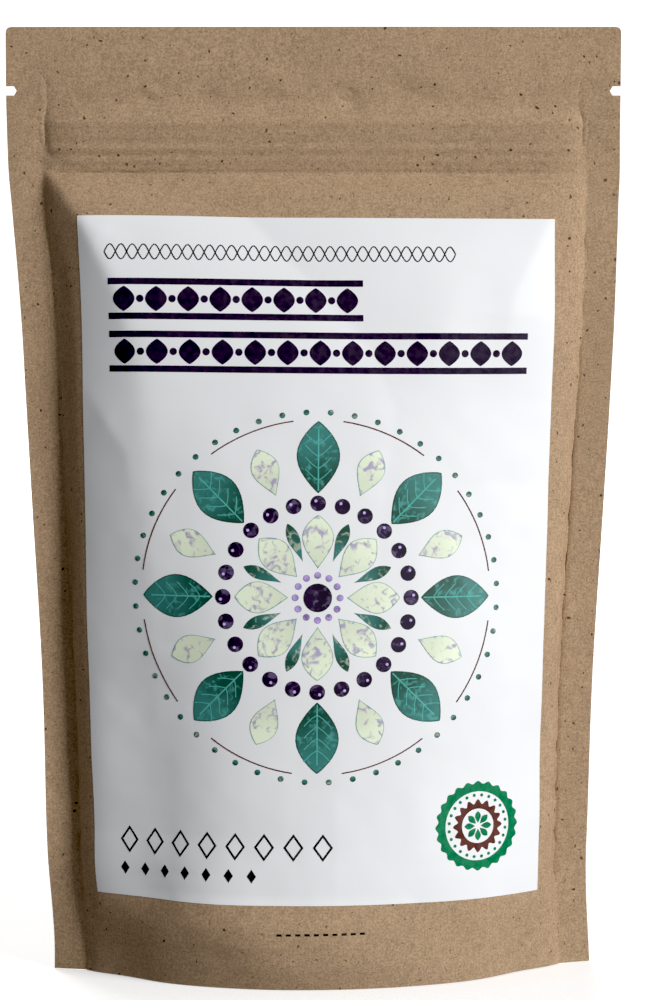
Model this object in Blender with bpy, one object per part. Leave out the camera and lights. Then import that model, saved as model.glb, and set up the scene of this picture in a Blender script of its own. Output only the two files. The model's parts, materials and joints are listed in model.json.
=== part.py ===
"""Stand-up zip pouch of kraft laminate, filled and sealed.

Two wall panels are sealed to each other down both sides and along the top. A folded web
joins them at the bottom, where it opens into a lens-shaped base that the pouch stands on.
A press-to-close zip crosses the inside below the header, a paper label covers most of the
front, and dried berries fill the pouch to about two thirds of its height.

Frame: metres, +Z up, +X to the pouch's right as its front is looked at, front facing -Y.
The origin is on the standing surface, at the middle of the base.
"""

import math

import bmesh
import bpy
import numpy as np

MM = 0.001

# The pouch as cut and sealed, before it is filled
BAG_WIDTH = 184 * MM
BAG_HEIGHT = 286 * MM
SIDE_SEAL = 10 * MM
FILM = 0.4 * MM
GAP = 0.3 * MM

# Tear notches, one in each side seal
NOTCH_BELOW_TOP = 19 * MM
NOTCH_DEPTH = 2.4 * MM
NOTCH_POINT = 0.8 * MM
NOTCH_HEIGHT = 2.7 * MM

# Press-to-close zip
ZIP_BOTTOM = 243 * MM
ZIP_TOP = 257 * MM
HEADER_BOTTOM = 262 * MM
ZIP_HALF_LENGTH = 72 * MM
ZIP_HALF_ROOM = 2.3 * MM
ZIP_OUTER_FACE = 1.4 * MM
ZIP_FLANGE = 0.4 * MM
ZIP_PROFILE_HEIGHT = 250 * MM

# Label
LABEL_WIDTH = 143 * MM
LABEL_BOTTOM = 27 * MM
LABEL_TOP = 229 * MM
LABEL_THICKNESS = 0.2 * MM

# Bottom web and fill
WEB_LOW = 6 * MM
WEB_SAG = 4 * MM
WEB_FOLD_HEIGHT = 48 * MM
WEB_REACH = 0.97
SKIRT_BOTTOM = 0.6 * MM
WEB_CLEARANCE = 0.5 * MM
FILL_CLEARANCE = 0.7 * MM
FILL_TOP = 176 * MM
FILL_SHOULDER_DROP = 9 * MM
FILL_REACH = 0.95

# How far the middle of a wall stands out from the side seals, as (height, depth)
BELLY_DEPTH = (
    (0, 31.6 * MM),
    (14 * MM, 31.2 * MM),
    (30 * MM, 30.6 * MM),
    (45 * MM, 30 * MM),
    (93 * MM, 27.3 * MM),
    (142 * MM, 22.2 * MM),
    (190 * MM, 15.9 * MM),
    (227 * MM, 10.4 * MM),
    (237 * MM, 6.2 * MM),
    (ZIP_BOTTOM, ZIP_HALF_ROOM),
    (ZIP_TOP, ZIP_HALF_ROOM),
    (HEADER_BOTTOM, 0),
    (BAG_HEIGHT, 0),
)
# The exponent of a wall's level section, as (height, exponent): 1 is a parabola, 0.5 an
# ellipse with steep ends, and near 0 a flat front between two steps
SECTION_EXPONENT = (
    (0, 0.8),
    (27 * MM, 0.68),
    (90 * MM, 0.62),
    (142 * MM, 0.64),
    (190 * MM, 0.66),
    (227 * MM, 0.66),
    (237 * MM, 0.45),
    (ZIP_BOTTOM, 0.25),
    (BAG_HEIGHT, 0.25),
)

HALF_FREE = BAG_WIDTH / 2 - SIDE_SEAL
FRONT = -1
BACK = 1


def smooth_at(stations, height):
    """Monotone cubic curve through (height, value) stations, read at one height."""
    heights = np.array([station[0] for station in stations])
    values = np.array([station[1] for station in stations])
    steps = np.diff(heights)
    slopes = np.diff(values) / steps
    tangents = np.zeros(len(values))
    tangents[0] = slopes[0]
    tangents[-1] = slopes[-1]
    for index in range(1, len(values) - 1):
        before = slopes[index - 1]
        after = slopes[index]
        if before * after > 0:
            tangents[index] = 2 * before * after / (before + after)
    cell = int(np.clip(np.searchsorted(heights, height, side="right") - 1, 0, len(steps) - 1))
    step = steps[cell]
    s = np.clip((height - heights[cell]) / step, 0, 1)
    from_start = (1 + 2 * s) * (1 - s) ** 2 * values[cell] + s * (1 - s) ** 2 * step * tangents[cell]
    to_end = s * s * (3 - 2 * s) * values[cell + 1] + s * s * (s - 1) * step * tangents[cell + 1]
    return float(from_start + to_end)


class Section:
    """The inner face of a wall at one height, from its middle out to the side seal."""

    ANGLES = np.linspace(0, math.pi / 2, 500)

    def __init__(self, height):
        self.depth = smooth_at(BELLY_DEPTH, height)
        self.exponent = smooth_at(SECTION_EXPONENT, height)
        self.out = self.depth * np.cos(self.ANGLES) ** (2 * self.exponent)
        self.half_chord = self.fitted_half_chord()
        self.across = self.half_chord * np.sin(self.ANGLES)
        self.run = self.run_along(self.half_chord)

    def run_along(self, half_chord):
        pieces = np.hypot(np.diff(half_chord * np.sin(self.ANGLES)), np.diff(self.out))
        return np.concatenate([[0], np.cumsum(pieces)])

    def fitted_half_chord(self):
        """The laminate doesn't stretch, so the seals draw in until the run is as cut."""
        low = 0.5 * HALF_FREE
        high = HALF_FREE
        for _ in range(40):
            middle = (low + high) / 2
            if self.run_along(middle)[-1] < HALF_FREE:
                low = middle
            else:
                high = middle
        return low

    def at_run(self, run):
        """Place (x, depth) at a distance measured along the wall from its middle line."""
        distance = abs(run)
        if distance >= HALF_FREE:
            return math.copysign(self.half_chord + distance - HALF_FREE, run), 0.0
        x = float(np.interp(distance, self.run, self.across))
        depth = float(np.interp(distance, self.run, self.out))
        return math.copysign(x, run), depth

    def inside(self, share, clearance):
        """Half-depth that clears the wall at a share of the half chord from the middle."""
        room = 1 - share * share
        depth = self.depth * room ** self.exponent
        slope = 2 * abs(share) * self.exponent * depth / (room * self.half_chord)
        return depth - clearance * math.hypot(1, slope)


def inner_point(run, height, side):
    """Point on a wall's inner face, at a distance measured along it from its middle line."""
    x, depth = Section(height).at_run(run)
    return np.array([x, side * (GAP / 2 + depth), height])


def outer_point(run, height, side, lift):
    """Point a distance outside the wall's inner face, and level with the face's own point."""
    step = 0.5 * MM
    right = inner_point(run + step, height, side) - inner_point(run - step, height, side)
    rise = inner_point(run, height + step, side) - inner_point(run, height - step, side)
    normal = side * np.cross(rise, right)
    level = np.array([normal[0], normal[1], 0])
    return inner_point(run, height, side) + lift * level * np.linalg.norm(normal) / level.dot(level)


def spread(start, end, cells):
    return [start + (end - start) * index / cells for index in range(cells + 1)]


def label_columns():
    """Distances from the middle line, closer together towards the label's edges."""
    cells = 18
    return [LABEL_WIDTH / 2 * math.sin(math.pi * (index / cells - 0.5)) for index in range(cells + 1)]


def wall_columns():
    """The label's columns, then the wall beside the label, the seal and the notch."""
    outer = spread(LABEL_WIDTH / 2, HALF_FREE, 4)[1:]
    outer += [BAG_WIDTH / 2 - NOTCH_DEPTH, BAG_WIDTH / 2]
    return [-run for run in reversed(outer)] + label_columns() + outer


def label_rows():
    return spread(LABEL_BOTTOM, LABEL_TOP, 14)


def wall_rows():
    notch = BAG_HEIGHT - NOTCH_BELOW_TOP
    rows = [0, 4 * MM, 10 * MM, 18 * MM]
    rows += label_rows()
    rows += [234 * MM, 239 * MM, ZIP_BOTTOM, ZIP_PROFILE_HEIGHT, ZIP_TOP, HEADER_BOTTOM]
    rows += [notch - NOTCH_HEIGHT / 2, notch, notch + NOTCH_HEIGHT / 2, BAG_HEIGHT]
    return rows


def material(name, colour, roughness, metallic=0.0):
    made = bpy.data.materials.new(name)
    made.use_nodes = True
    shader = made.node_tree.nodes["Principled BSDF"]
    shader.inputs["Base Color"].default_value = (*colour, 1.0)
    shader.inputs["Roughness"].default_value = roughness
    shader.inputs["Metallic"].default_value = metallic
    return made


def new_object(name, mesh, finish):
    made = bpy.data.objects.new(name, mesh)
    bpy.context.scene.collection.objects.link(made)
    mesh.materials.append(finish)
    return made


def add_grid(shape, points, skipped):
    """A grid of faces, rows first, without the skipped cells. Returns its vertices in order."""
    grid = [[shape.verts.new(point) for point in row] for row in points]
    for row in range(len(grid) - 1):
        for column in range(len(grid[0]) - 1):
            if (row, column) not in skipped:
                low = grid[row]
                high = grid[row + 1]
                shape.faces.new((low[column], low[column + 1], high[column + 1], high[column]))
    return [vertex for row in grid for vertex in row]


def sheet_object(name, inner, outer, finish, skipped=()):
    """Closed thin sheet between two grids of points, with its edges and cuts walled up."""
    shape = bmesh.new()
    inner_vertices = add_grid(shape, inner, skipped)
    outer_vertices = add_grid(shape, outer, skipped)
    partner = dict(zip(inner_vertices, outer_vertices))
    outline = [edge for vertex in inner_vertices for edge in vertex.link_edges if edge.is_boundary]
    for start, end in {tuple(edge.verts) for edge in outline}:
        shape.faces.new((start, end, partner[end], partner[start]))
    loose = [vertex for vertex in shape.verts if not vertex.link_faces]
    bmesh.ops.delete(shape, geom=loose, context="VERTS")
    bmesh.ops.recalc_face_normals(shape, faces=shape.faces)
    mesh = bpy.data.meshes.new(name)
    shape.to_mesh(mesh)
    shape.free()
    mesh.shade_smooth()
    mesh.set_sharp_from_angle(angle=math.radians(60))
    return new_object(name, mesh, finish)


def wall_panel(name, side, finish):
    """One wall, with a pointed tear notch cut into each side seal."""
    columns = wall_columns()
    rows = wall_rows()
    inner = [[inner_point(run, height, side) for run in columns] for height in rows]
    outer = [[outer_point(run, height, side, FILM) for run in columns] for height in rows]
    notch_row = rows.index(BAG_HEIGHT - NOTCH_BELOW_TOP)
    last = len(columns) - 1
    for points in (inner, outer):
        points[notch_row][1][0] += NOTCH_POINT
        points[notch_row][last - 1][0] -= NOTCH_POINT
    skipped = [(row, column) for row in (notch_row - 1, notch_row) for column in (0, last - 1)]
    return sheet_object(name, inner, outer, finish, skipped)


def front_label(finish):
    """The label, glued on with a hair's gap so that it stays a separate solid."""
    under = FILM + GAP
    over = under + LABEL_THICKNESS
    faces = []
    for lift in (under, over):
        rows = [[outer_point(run, height, FRONT, lift) for run in label_columns()] for height in label_rows()]
        faces.append(rows)
    return sheet_object("front_label", faces[0], faces[1], finish)


def web_height(share, across):
    """Height of the bottom web at shares of the half chord and of the half depth."""
    rise = WEB_LOW + (WEB_FOLD_HEIGHT - WEB_LOW) * abs(share) ** 4
    return rise - WEB_SAG * (1 - share * share) * (1 - across * across)


def skirt_point(share, climb, side, inset):
    height = SKIRT_BOTTOM + climb * (web_height(share, side) - inset - SKIRT_BOTTOM)
    section = Section(height)
    clearance = WEB_CLEARANCE + inset
    return (share * section.half_chord, side * section.inside(share, clearance), height)


def web_point(share, across, inset):
    section = Section(web_height(share, 1))
    half_depth = section.inside(share, WEB_CLEARANCE + inset)
    return (share * section.half_chord, across * half_depth, web_height(share, across) - inset)


def bottom_web(finish):
    """Folded sheet that spans the base: a skirt down each wall and the web between them."""
    cells = 24
    columns = [WEB_REACH * math.sin(math.pi * (index / cells - 0.5)) for index in range(cells + 1)]
    faces = []
    for inset in (0, FILM):
        rows = [[skirt_point(share, climb, FRONT, inset) for share in columns] for climb in (0, 0.5)]
        rows += [[web_point(share, across, inset) for share in columns] for across in spread(-1, 1, 8)]
        rows += [[skirt_point(share, climb, BACK, inset) for share in columns] for climb in (0.5, 0)]
        faces.append(rows)
    return sheet_object("bottom_web", faces[0], faces[1], finish)


def zip_strip(name, outline, finish):
    """A zip profile, its outline given as (depth, height), extruded across the pouch."""
    shape = bmesh.new()
    start = [shape.verts.new((-ZIP_HALF_LENGTH, y, ZIP_PROFILE_HEIGHT + z)) for y, z in outline]
    end_face = shape.faces.new(start)
    grown = bmesh.ops.extrude_face_region(shape, geom=[end_face])
    moved = [item for item in grown["geom"] if isinstance(item, bmesh.types.BMVert)]
    bmesh.ops.translate(shape, verts=moved, vec=(2 * ZIP_HALF_LENGTH, 0, 0))
    bmesh.ops.recalc_face_normals(shape, faces=shape.faces)
    mesh = bpy.data.meshes.new(name)
    shape.to_mesh(mesh)
    shape.free()
    return new_object(name, mesh, finish)


def zip_strips(finish):
    """A ribbed strip on the front wall that snaps into a grooved strip on the back wall."""
    outer = ZIP_OUTER_FACE
    inner = outer - ZIP_FLANGE
    half_flange = (ZIP_TOP - ZIP_BOTTOM) / 2 - 1 * MM
    stem = 0.25 * MM
    head = 0.75 * MM
    head_front = 0
    head_back = 0.5 * MM
    lip_front = -0.65 * MM
    lip_back = -0.3 * MM
    lip = stem + GAP
    jaw_inner = head + GAP
    jaw_outer = jaw_inner + ZIP_FLANGE

    upper_rib = [(-outer, half_flange), (-inner, half_flange), (-inner, stem), (head_front, stem)]
    upper_rib += [(head_front, head), (head_back, stem)]
    lower_rib = [(y, -z) for y, z in reversed(upper_rib)]
    zip_strip("zip_rib_strip", upper_rib + lower_rib, finish)

    upper_groove = [(outer, half_flange), (inner, half_flange), (inner, jaw_outer), (lip_front, jaw_outer)]
    upper_groove += [(lip_front, lip), (lip_back, lip), (lip_back, jaw_inner), (inner, jaw_inner)]
    lower_groove = [(y, -z) for y, z in reversed(upper_groove)]
    zip_strip("zip_groove_strip", upper_groove + lower_groove, finish)


def fill_top(share, across):
    return FILL_TOP - FILL_SHOULDER_DROP * (share * share + 0.4 * across * across) / 1.4


def fill_point(share, across, climb):
    """Point of the fill between the web below it and its own heaped top."""
    edge_low = web_height(share, 1) + FILM + FILL_CLEARANCE
    edge_high = fill_top(share, 1)
    section = Section(edge_low + (edge_high - edge_low) * climb)
    low = web_height(share, across) + FILM + FILL_CLEARANCE
    height = low + (fill_top(share, across) - low) * climb
    return (share * section.half_chord, across * section.inside(share, FILL_CLEARANCE), height)


def berry_fill(finish):
    """The contents: one closed body that keeps clear of the walls, the web and the zip."""
    counts = (16, 6, 12)
    shares = [FILL_REACH * math.sin(math.pi * (index / counts[0] - 0.5)) for index in range(counts[0] + 1)]
    acrosses = spread(-1, 1, counts[1])
    climbs = spread(0, 1, counts[2])
    shape = bmesh.new()
    placed = {}

    def vertex(i, j, k):
        if (i, j, k) not in placed:
            placed[i, j, k] = shape.verts.new(fill_point(shares[i], acrosses[j], climbs[k]))
        return placed[i, j, k]

    def face_on(axis, level):
        first, second = [other for other in range(3) if other != axis]
        for a in range(counts[first]):
            for b in range(counts[second]):
                corners = []
                for step_a, step_b in ((0, 0), (1, 0), (1, 1), (0, 1)):
                    index = [0, 0, 0]
                    index[axis] = level
                    index[first] = a + step_a
                    index[second] = b + step_b
                    corners.append(vertex(*index))
                shape.faces.new(corners)

    for axis in range(3):
        face_on(axis, 0)
        face_on(axis, counts[axis])
    bmesh.ops.recalc_face_normals(shape, faces=shape.faces)
    mesh = bpy.data.meshes.new("berry_fill")
    shape.to_mesh(mesh)
    shape.free()
    mesh.shade_smooth()
    return new_object("berry_fill", mesh, finish)


def clear_scene():
    for old in list(bpy.data.objects):
        bpy.data.objects.remove(old, do_unlink=True)


def main():
    clear_scene()
    kraft = material("kraft_laminate", (0.37, 0.25, 0.16), 0.75)
    lining = material("kraft_lining", (0.33, 0.22, 0.14), 0.6)
    clear_film = material("zip_plastic", (0.8, 0.8, 0.78), 0.3)
    paper = material("label_paper", (0.85, 0.86, 0.88), 0.5)
    berries = material("dried_berries", (0.03, 0.015, 0.02), 0.6)
    wall_panel("front_panel", FRONT, kraft)
    wall_panel("back_panel", BACK, kraft)
    bottom_web(lining)
    zip_strips(clear_film)
    front_label(paper)
    berry_fill(berries)


main()
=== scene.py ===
"""Looks of a filled kraft stand-up pouch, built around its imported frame.

Each wall of the pouch is a table of places over its flat cut, so that everything on a wall,
such as the label and its print, is drawn flat and then laid on the wall. Runs are distances
along a wall from its middle line, and heights are distances above the standing surface.
"""

import json
import math

import bmesh
import bpy
import numpy as np
from bpy.props import FloatProperty, FloatVectorProperty, PointerProperty
from mathutils import Matrix, Vector

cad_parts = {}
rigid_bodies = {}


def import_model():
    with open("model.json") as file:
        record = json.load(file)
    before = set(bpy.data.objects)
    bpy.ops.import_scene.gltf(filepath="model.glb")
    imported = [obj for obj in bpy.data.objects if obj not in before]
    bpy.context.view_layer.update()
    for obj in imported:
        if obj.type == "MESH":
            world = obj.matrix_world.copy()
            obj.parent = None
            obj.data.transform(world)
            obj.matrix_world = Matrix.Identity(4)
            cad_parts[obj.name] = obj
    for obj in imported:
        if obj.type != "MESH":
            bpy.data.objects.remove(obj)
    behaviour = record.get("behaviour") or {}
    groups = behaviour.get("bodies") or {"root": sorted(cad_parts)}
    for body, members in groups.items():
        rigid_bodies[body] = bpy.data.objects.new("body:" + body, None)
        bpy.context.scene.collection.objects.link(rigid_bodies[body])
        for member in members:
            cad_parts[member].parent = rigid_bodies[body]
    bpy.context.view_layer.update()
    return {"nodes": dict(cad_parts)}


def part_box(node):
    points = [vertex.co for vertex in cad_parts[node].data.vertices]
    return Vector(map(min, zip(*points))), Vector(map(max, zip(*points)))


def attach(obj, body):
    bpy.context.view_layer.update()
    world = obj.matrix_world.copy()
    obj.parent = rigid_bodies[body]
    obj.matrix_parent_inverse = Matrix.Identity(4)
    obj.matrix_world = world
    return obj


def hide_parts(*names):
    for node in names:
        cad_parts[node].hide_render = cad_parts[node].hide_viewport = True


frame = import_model()

bl_info = {
    "name": "Kraft Stand-up Pouch",
    "version": (1, 0, 0),
    "blender": (4, 5, 0),
    "location": "View3D > Sidebar > Pouch",
    "description": "Builds a filled kraft zip pouch with a printed label",
    "category": "Add Mesh",
}

MM = 0.001
BODY = "root"
FRONT = -1
BACK = 1
POUCH_LOW, POUCH_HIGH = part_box("front_panel")
LABEL_LOW, LABEL_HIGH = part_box("front_label")


# Properties


def length(name, description, default):
    return FloatProperty(name=name, description=description, default=default, unit="LENGTH")


def share(name, description, default):
    return FloatProperty(name=name, description=description, default=default, min=0, max=1)


def colour(name, description, default):
    return FloatVectorProperty(
        name=name, description=description, default=default, subtype="COLOR", size=3, min=0, max=1
    )


def angle(name, description, degrees):
    default = math.radians(degrees)
    return FloatProperty(name=name, description=description, default=default, subtype="ANGLE")


class PouchSizes(bpy.types.PropertyGroup):
    """Sizes of the pouch and of the marks that filling it leaves"""

    bag_width: length("Bag width", "Width of the flat pouch over its seals", POUCH_HIGH.x - POUCH_LOW.x)
    bag_height: length("Bag height", "Height of the flat pouch", POUCH_HIGH.z)
    side_seal: length("Side seal", "Width of the welded strip down each side", 10 * MM)
    film: length("Film", "Thickness of the laminate", 0.16 * MM)
    corner: length("Corner radius", "Rounding of the two top corners", 1.6 * MM)
    notch_below_top: length("Notch place", "Distance of the tear notches below the top", 19 * MM)
    notch_depth: length("Notch depth", "Depth of a tear notch without its point", 2.4 * MM)
    notch_point: length("Notch point", "Extra depth of the notch's pointed end", 0.8 * MM)
    notch_height: length("Notch height", "Height of a tear notch at the edge", 2.7 * MM)
    header_bow: length("Header bow", "How far the top edge leans forward", 4 * MM)
    lean: length("Lean", "How far the header hangs over to the left", 1.4 * MM)
    foot_draw: length("Foot draw", "How far each side seal is drawn in further at the base", 1.8 * MM)
    web_length: length("Web length", "Unfolded length of the bottom web, wall to wall", 84 * MM)
    twist: length("Twist", "How far back the right bottom corner stands, and the left forward", 4.6 * MM)
    seal_ripple: length("Seal ripple", "How far the side seals wave out of their plane", 0.5 * MM)


class KraftFinish(bpy.types.PropertyGroup):
    """Colours and texture of the kraft laminate"""

    paper: colour("Paper", "Colour of the kraft paper", (0.409, 0.2885, 0.188))
    fleck: colour("Fleck", "Colour of the dark bark flecks", (0.06, 0.03, 0.015))
    pale: colour("Pale fibre", "Colour of the bleached fibres", (0.62, 0.47, 0.33))
    fleck_spacing: length("Fleck spacing", "Size of the cells that flecks are drawn in", 5 * MM)
    grain: share("Grain", "Strength of the fibre grain", 0.5)


class LabelSizes(bpy.types.PropertyGroup):
    """Size, place and paper of the label"""

    width: length("Width", "Width of the label", 142.2 * MM)
    height: length("Height", "Height of the label", 203 * MM)
    bottom: length("Bottom", "Height of the label's lower edge", LABEL_LOW.z - 1.4 * MM)
    top: length("Top", "Height of the label's upper edge", LABEL_HIGH.z)
    shift: length("Shift", "How far the label sits off the middle line", 0.1 * MM)
    turn: angle("Turn", "Clockwise tilt of the label", 0.3)
    thickness: length("Thickness", "Thickness of the label paper", 0.1 * MM)
    paper: colour("Paper", "Colour of the label paper", (0.83, 0.84, 0.86))


class PrintInks(bpy.types.PropertyGroup):
    """Inks of the label's ornaments"""

    film: length("Ink film", "Thickness of the printed film", 0.02 * MM)
    dark: colour("Dark", "Deep aubergine of the friezes", (0.016, 0.004, 0.03))
    black: colour("Black", "Soft black of the small marks", (0.01, 0.01, 0.012))
    green: colour("Green", "Deep green of the lobes", (0.012, 0.075, 0.05))
    teal: colour("Teal", "Blue-green wash", (0.05, 0.21, 0.19))
    pale: colour("Pale", "Pale green of the petals", (0.7, 0.77, 0.6))
    lilac: colour("Lilac", "Lilac wash", (0.32, 0.24, 0.5))
    brown: colour("Brown", "Red-brown of the fine lines", (0.12, 0.03, 0.02))
    seal: colour("Seal", "Bright green of the round seal", (0.0, 0.22, 0.085))


class BerrySizes(bpy.types.PropertyGroup):
    """The dried berries inside"""

    size: length("Size", "Width of a dried berry", 5 * MM)
    spacing: length("Spacing", "Least distance between berries on the heap", 4.6 * MM)
    inset: length("Inset", "How far the heap's core keeps inside its space", 4.4 * MM)
    skin: colour("Skin", "Colour of the dried skin", (0.012, 0.007, 0.012))
    ripe: colour("Red skin", "Colour of the redder berries", (0.09, 0.018, 0.012))


class StudioSetup(bpy.types.PropertyGroup):
    """Camera, floor and lights"""

    distance: length("Camera distance", "From the camera to the pouch", 1.0)
    azimuth: angle("Azimuth", "Camera turn to the right", 0)
    elevation: angle("Elevation", "Camera height angle", 5)
    roll: angle("Roll", "Camera roll", 0)
    lens: FloatProperty(name="Lens", description="Focal length in millimetres", default=118.6)
    key: FloatProperty(name="Key light", description="Power of the key light", default=93, unit="POWER")
    fill: FloatProperty(name="Fill light", description="Strength of the surrounding light", default=0.23)
    black_point: FloatProperty(name="Black point", description="Light that is shown as black", default=0.022)


# Curves and noise


def smooth_step(value, low, high):
    """0 at low and 1 at high, level at both; low may be above high."""
    part = np.clip((value - low) / (high - low), 0, 1)
    return part * part * (3 - 2 * part)


def smooth_at(stations, height):
    """Monotone cubic curve through (height, value) stations, read at one height."""
    heights = np.array([station[0] for station in stations])
    values = np.array([station[1] for station in stations])
    steps = np.diff(heights)
    slopes = np.diff(values) / steps
    tangents = np.zeros(len(values))
    tangents[0] = slopes[0]
    tangents[-1] = slopes[-1]
    for index in range(1, len(values) - 1):
        before = slopes[index - 1]
        after = slopes[index]
        if before * after > 0:
            tangents[index] = 2 * before * after / (before + after)
    cell = int(np.clip(np.searchsorted(heights, height, side="right") - 1, 0, len(steps) - 1))
    step = steps[cell]
    s = np.clip((height - heights[cell]) / step, 0, 1)
    from_start = (1 + 2 * s) * (1 - s) ** 2 * values[cell] + s * (1 - s) ** 2 * step * tangents[cell]
    to_end = s * s * (3 - 2 * s) * values[cell + 1] + s * s * (s - 1) * step * tangents[cell + 1]
    return float(from_start + to_end)


LATTICE_ROWS = 97
LATTICE_COLUMNS = 89
LATTICE_START = (31.4, 7.7)


def clouds(run, height, cell, seed):
    """Smooth noise from -1 to 1 with cells of one size."""
    lattice = np.random.default_rng(seed).uniform(-1, 1, (LATTICE_ROWS, LATTICE_COLUMNS))
    u = run / cell + LATTICE_START[0]
    v = height / cell + LATTICE_START[1]
    column = np.floor(u).astype(int)
    row = np.floor(v).astype(int)
    s = smooth_step(u - column, 0, 1)
    t = smooth_step(v - row, 0, 1)

    def knot(step_row, step_column):
        return lattice[(row + step_row) % LATTICE_ROWS, (column + step_column) % LATTICE_COLUMNS]

    low = knot(0, 0) * (1 - s) + knot(0, 1) * s
    high = knot(1, 0) * (1 - s) + knot(1, 1) * s
    return low * (1 - t) + high * t


def graded(*stretches):
    """Values from the first stretch's start to the last one's end, as (start, end, step)."""
    values = []
    for start, end, step in stretches:
        cells = max(1, round((end - start) / step))
        values += [start + (end - start) * index / cells for index in range(cells)]
    return np.array(values + [stretches[-1][1]])


# The walls of the filled pouch

BAG_TOP = 286 * MM
ZIP_BOTTOM = 243 * MM
ZIP_TOP = 257 * MM
HEADER_BOTTOM = 262 * MM
ZIP_HALF_ROOM = 1.4 * MM
ZIP_THINNING = 0.72
SEAL_GAP = 0.3 * MM
CAD_FILM = 0.4 * MM
# How far the middle of a wall stands out from the side seals, as (height, depth)
BELLY_DEPTH = (
    (0, 29.2 * MM),
    (14 * MM, 29.8 * MM),
    (30 * MM, 30.1 * MM),
    (45 * MM, 29.2 * MM),
    (93 * MM, 26.4 * MM),
    (142 * MM, 21.4 * MM),
    (190 * MM, 15.5 * MM),
    (215 * MM, 11.4 * MM),
    (227 * MM, 8.6 * MM),
    (237 * MM, 5.4 * MM),
    (ZIP_BOTTOM, ZIP_HALF_ROOM),
    (ZIP_TOP, ZIP_HALF_ROOM),
    (HEADER_BOTTOM + 3 * MM, 0),
    (BAG_TOP, 0),
)
# The exponent of a wall's level section, as (height, exponent)
SECTION_EXPONENT = (
    (0, 0.8),
    (27 * MM, 0.68),
    (90 * MM, 0.62),
    (142 * MM, 0.64),
    (190 * MM, 0.66),
    (227 * MM, 0.66),
    (237 * MM, 0.62),
    (ZIP_BOTTOM, 0.8),
    (BAG_TOP, 0.8),
)
# How steeply the side seals bend back, or forward below 0, as (height, slope)
LEFT_SEAL_SLOPE = (
    (0, 0.28),
    (20 * MM, 0.16),
    (50 * MM, -0.19),
    (90 * MM, -0.15),
    (150 * MM, -0.07),
    (220 * MM, -0.03),
    (240 * MM, 0),
)
RIGHT_SEAL_SLOPE = ((0, 0.24), (57 * MM, 0.15), (180 * MM, 0.05), (240 * MM, 0))
SECTION_POINTS = 400
SECTION_HALVINGS = 36
EVENED_ROWS = 14
FOOT_DRAW_TOP = 38 * MM
# Heights between which the header leans over, and between which the base's twist fades out
LEAN_START = 190 * MM
LEAN_END = 265 * MM
TWIST_FULL = 8 * MM
TWIST_TOP = 130 * MM
RIPPLE_LENGTH = 19 * MM
HEADER_SLACK = 0.35 * MM
HEADER_SLACK_CELL = 30 * MM
HEADER_SLACK_SEED = 3


def section(height, half_free):
    """A wall's level section: arrays of run, distance from the middle, and depth.

    The laminate doesn't stretch, so the seals draw in until the run is as it was cut.
    """
    angles = np.linspace(0, math.pi / 2, SECTION_POINTS)
    depth = smooth_at(BELLY_DEPTH, height)
    exponent = smooth_at(SECTION_EXPONENT, height)
    out = depth * np.cos(angles) ** (2 * exponent)
    low = 0.5 * half_free
    high = half_free
    for _ in range(SECTION_HALVINGS):
        chord = (low + high) / 2
        pieces = np.hypot(np.diff(chord * np.sin(angles)), np.diff(out))
        run = np.concatenate([[0], np.cumsum(pieces)])
        if run[-1] < half_free:
            low = chord
        else:
            high = chord
    return run, chord * np.sin(angles), out


def unit(vectors):
    return vectors / np.linalg.norm(vectors, axis=-1, keepdims=True)


def evened(table, reach):
    """Each column averaged over its neighbours within a reach of rows, weighted to the middle."""
    weights = smooth_step(np.abs(np.arange(-reach, reach + 1)), reach + 1, 0)
    padded = np.pad(table, ((reach, reach), (0, 0)), mode="edge")
    rows = [weight * padded[start : start + len(table)] for start, weight in enumerate(weights)]
    return np.sum(rows, axis=0) / weights.sum()


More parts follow.
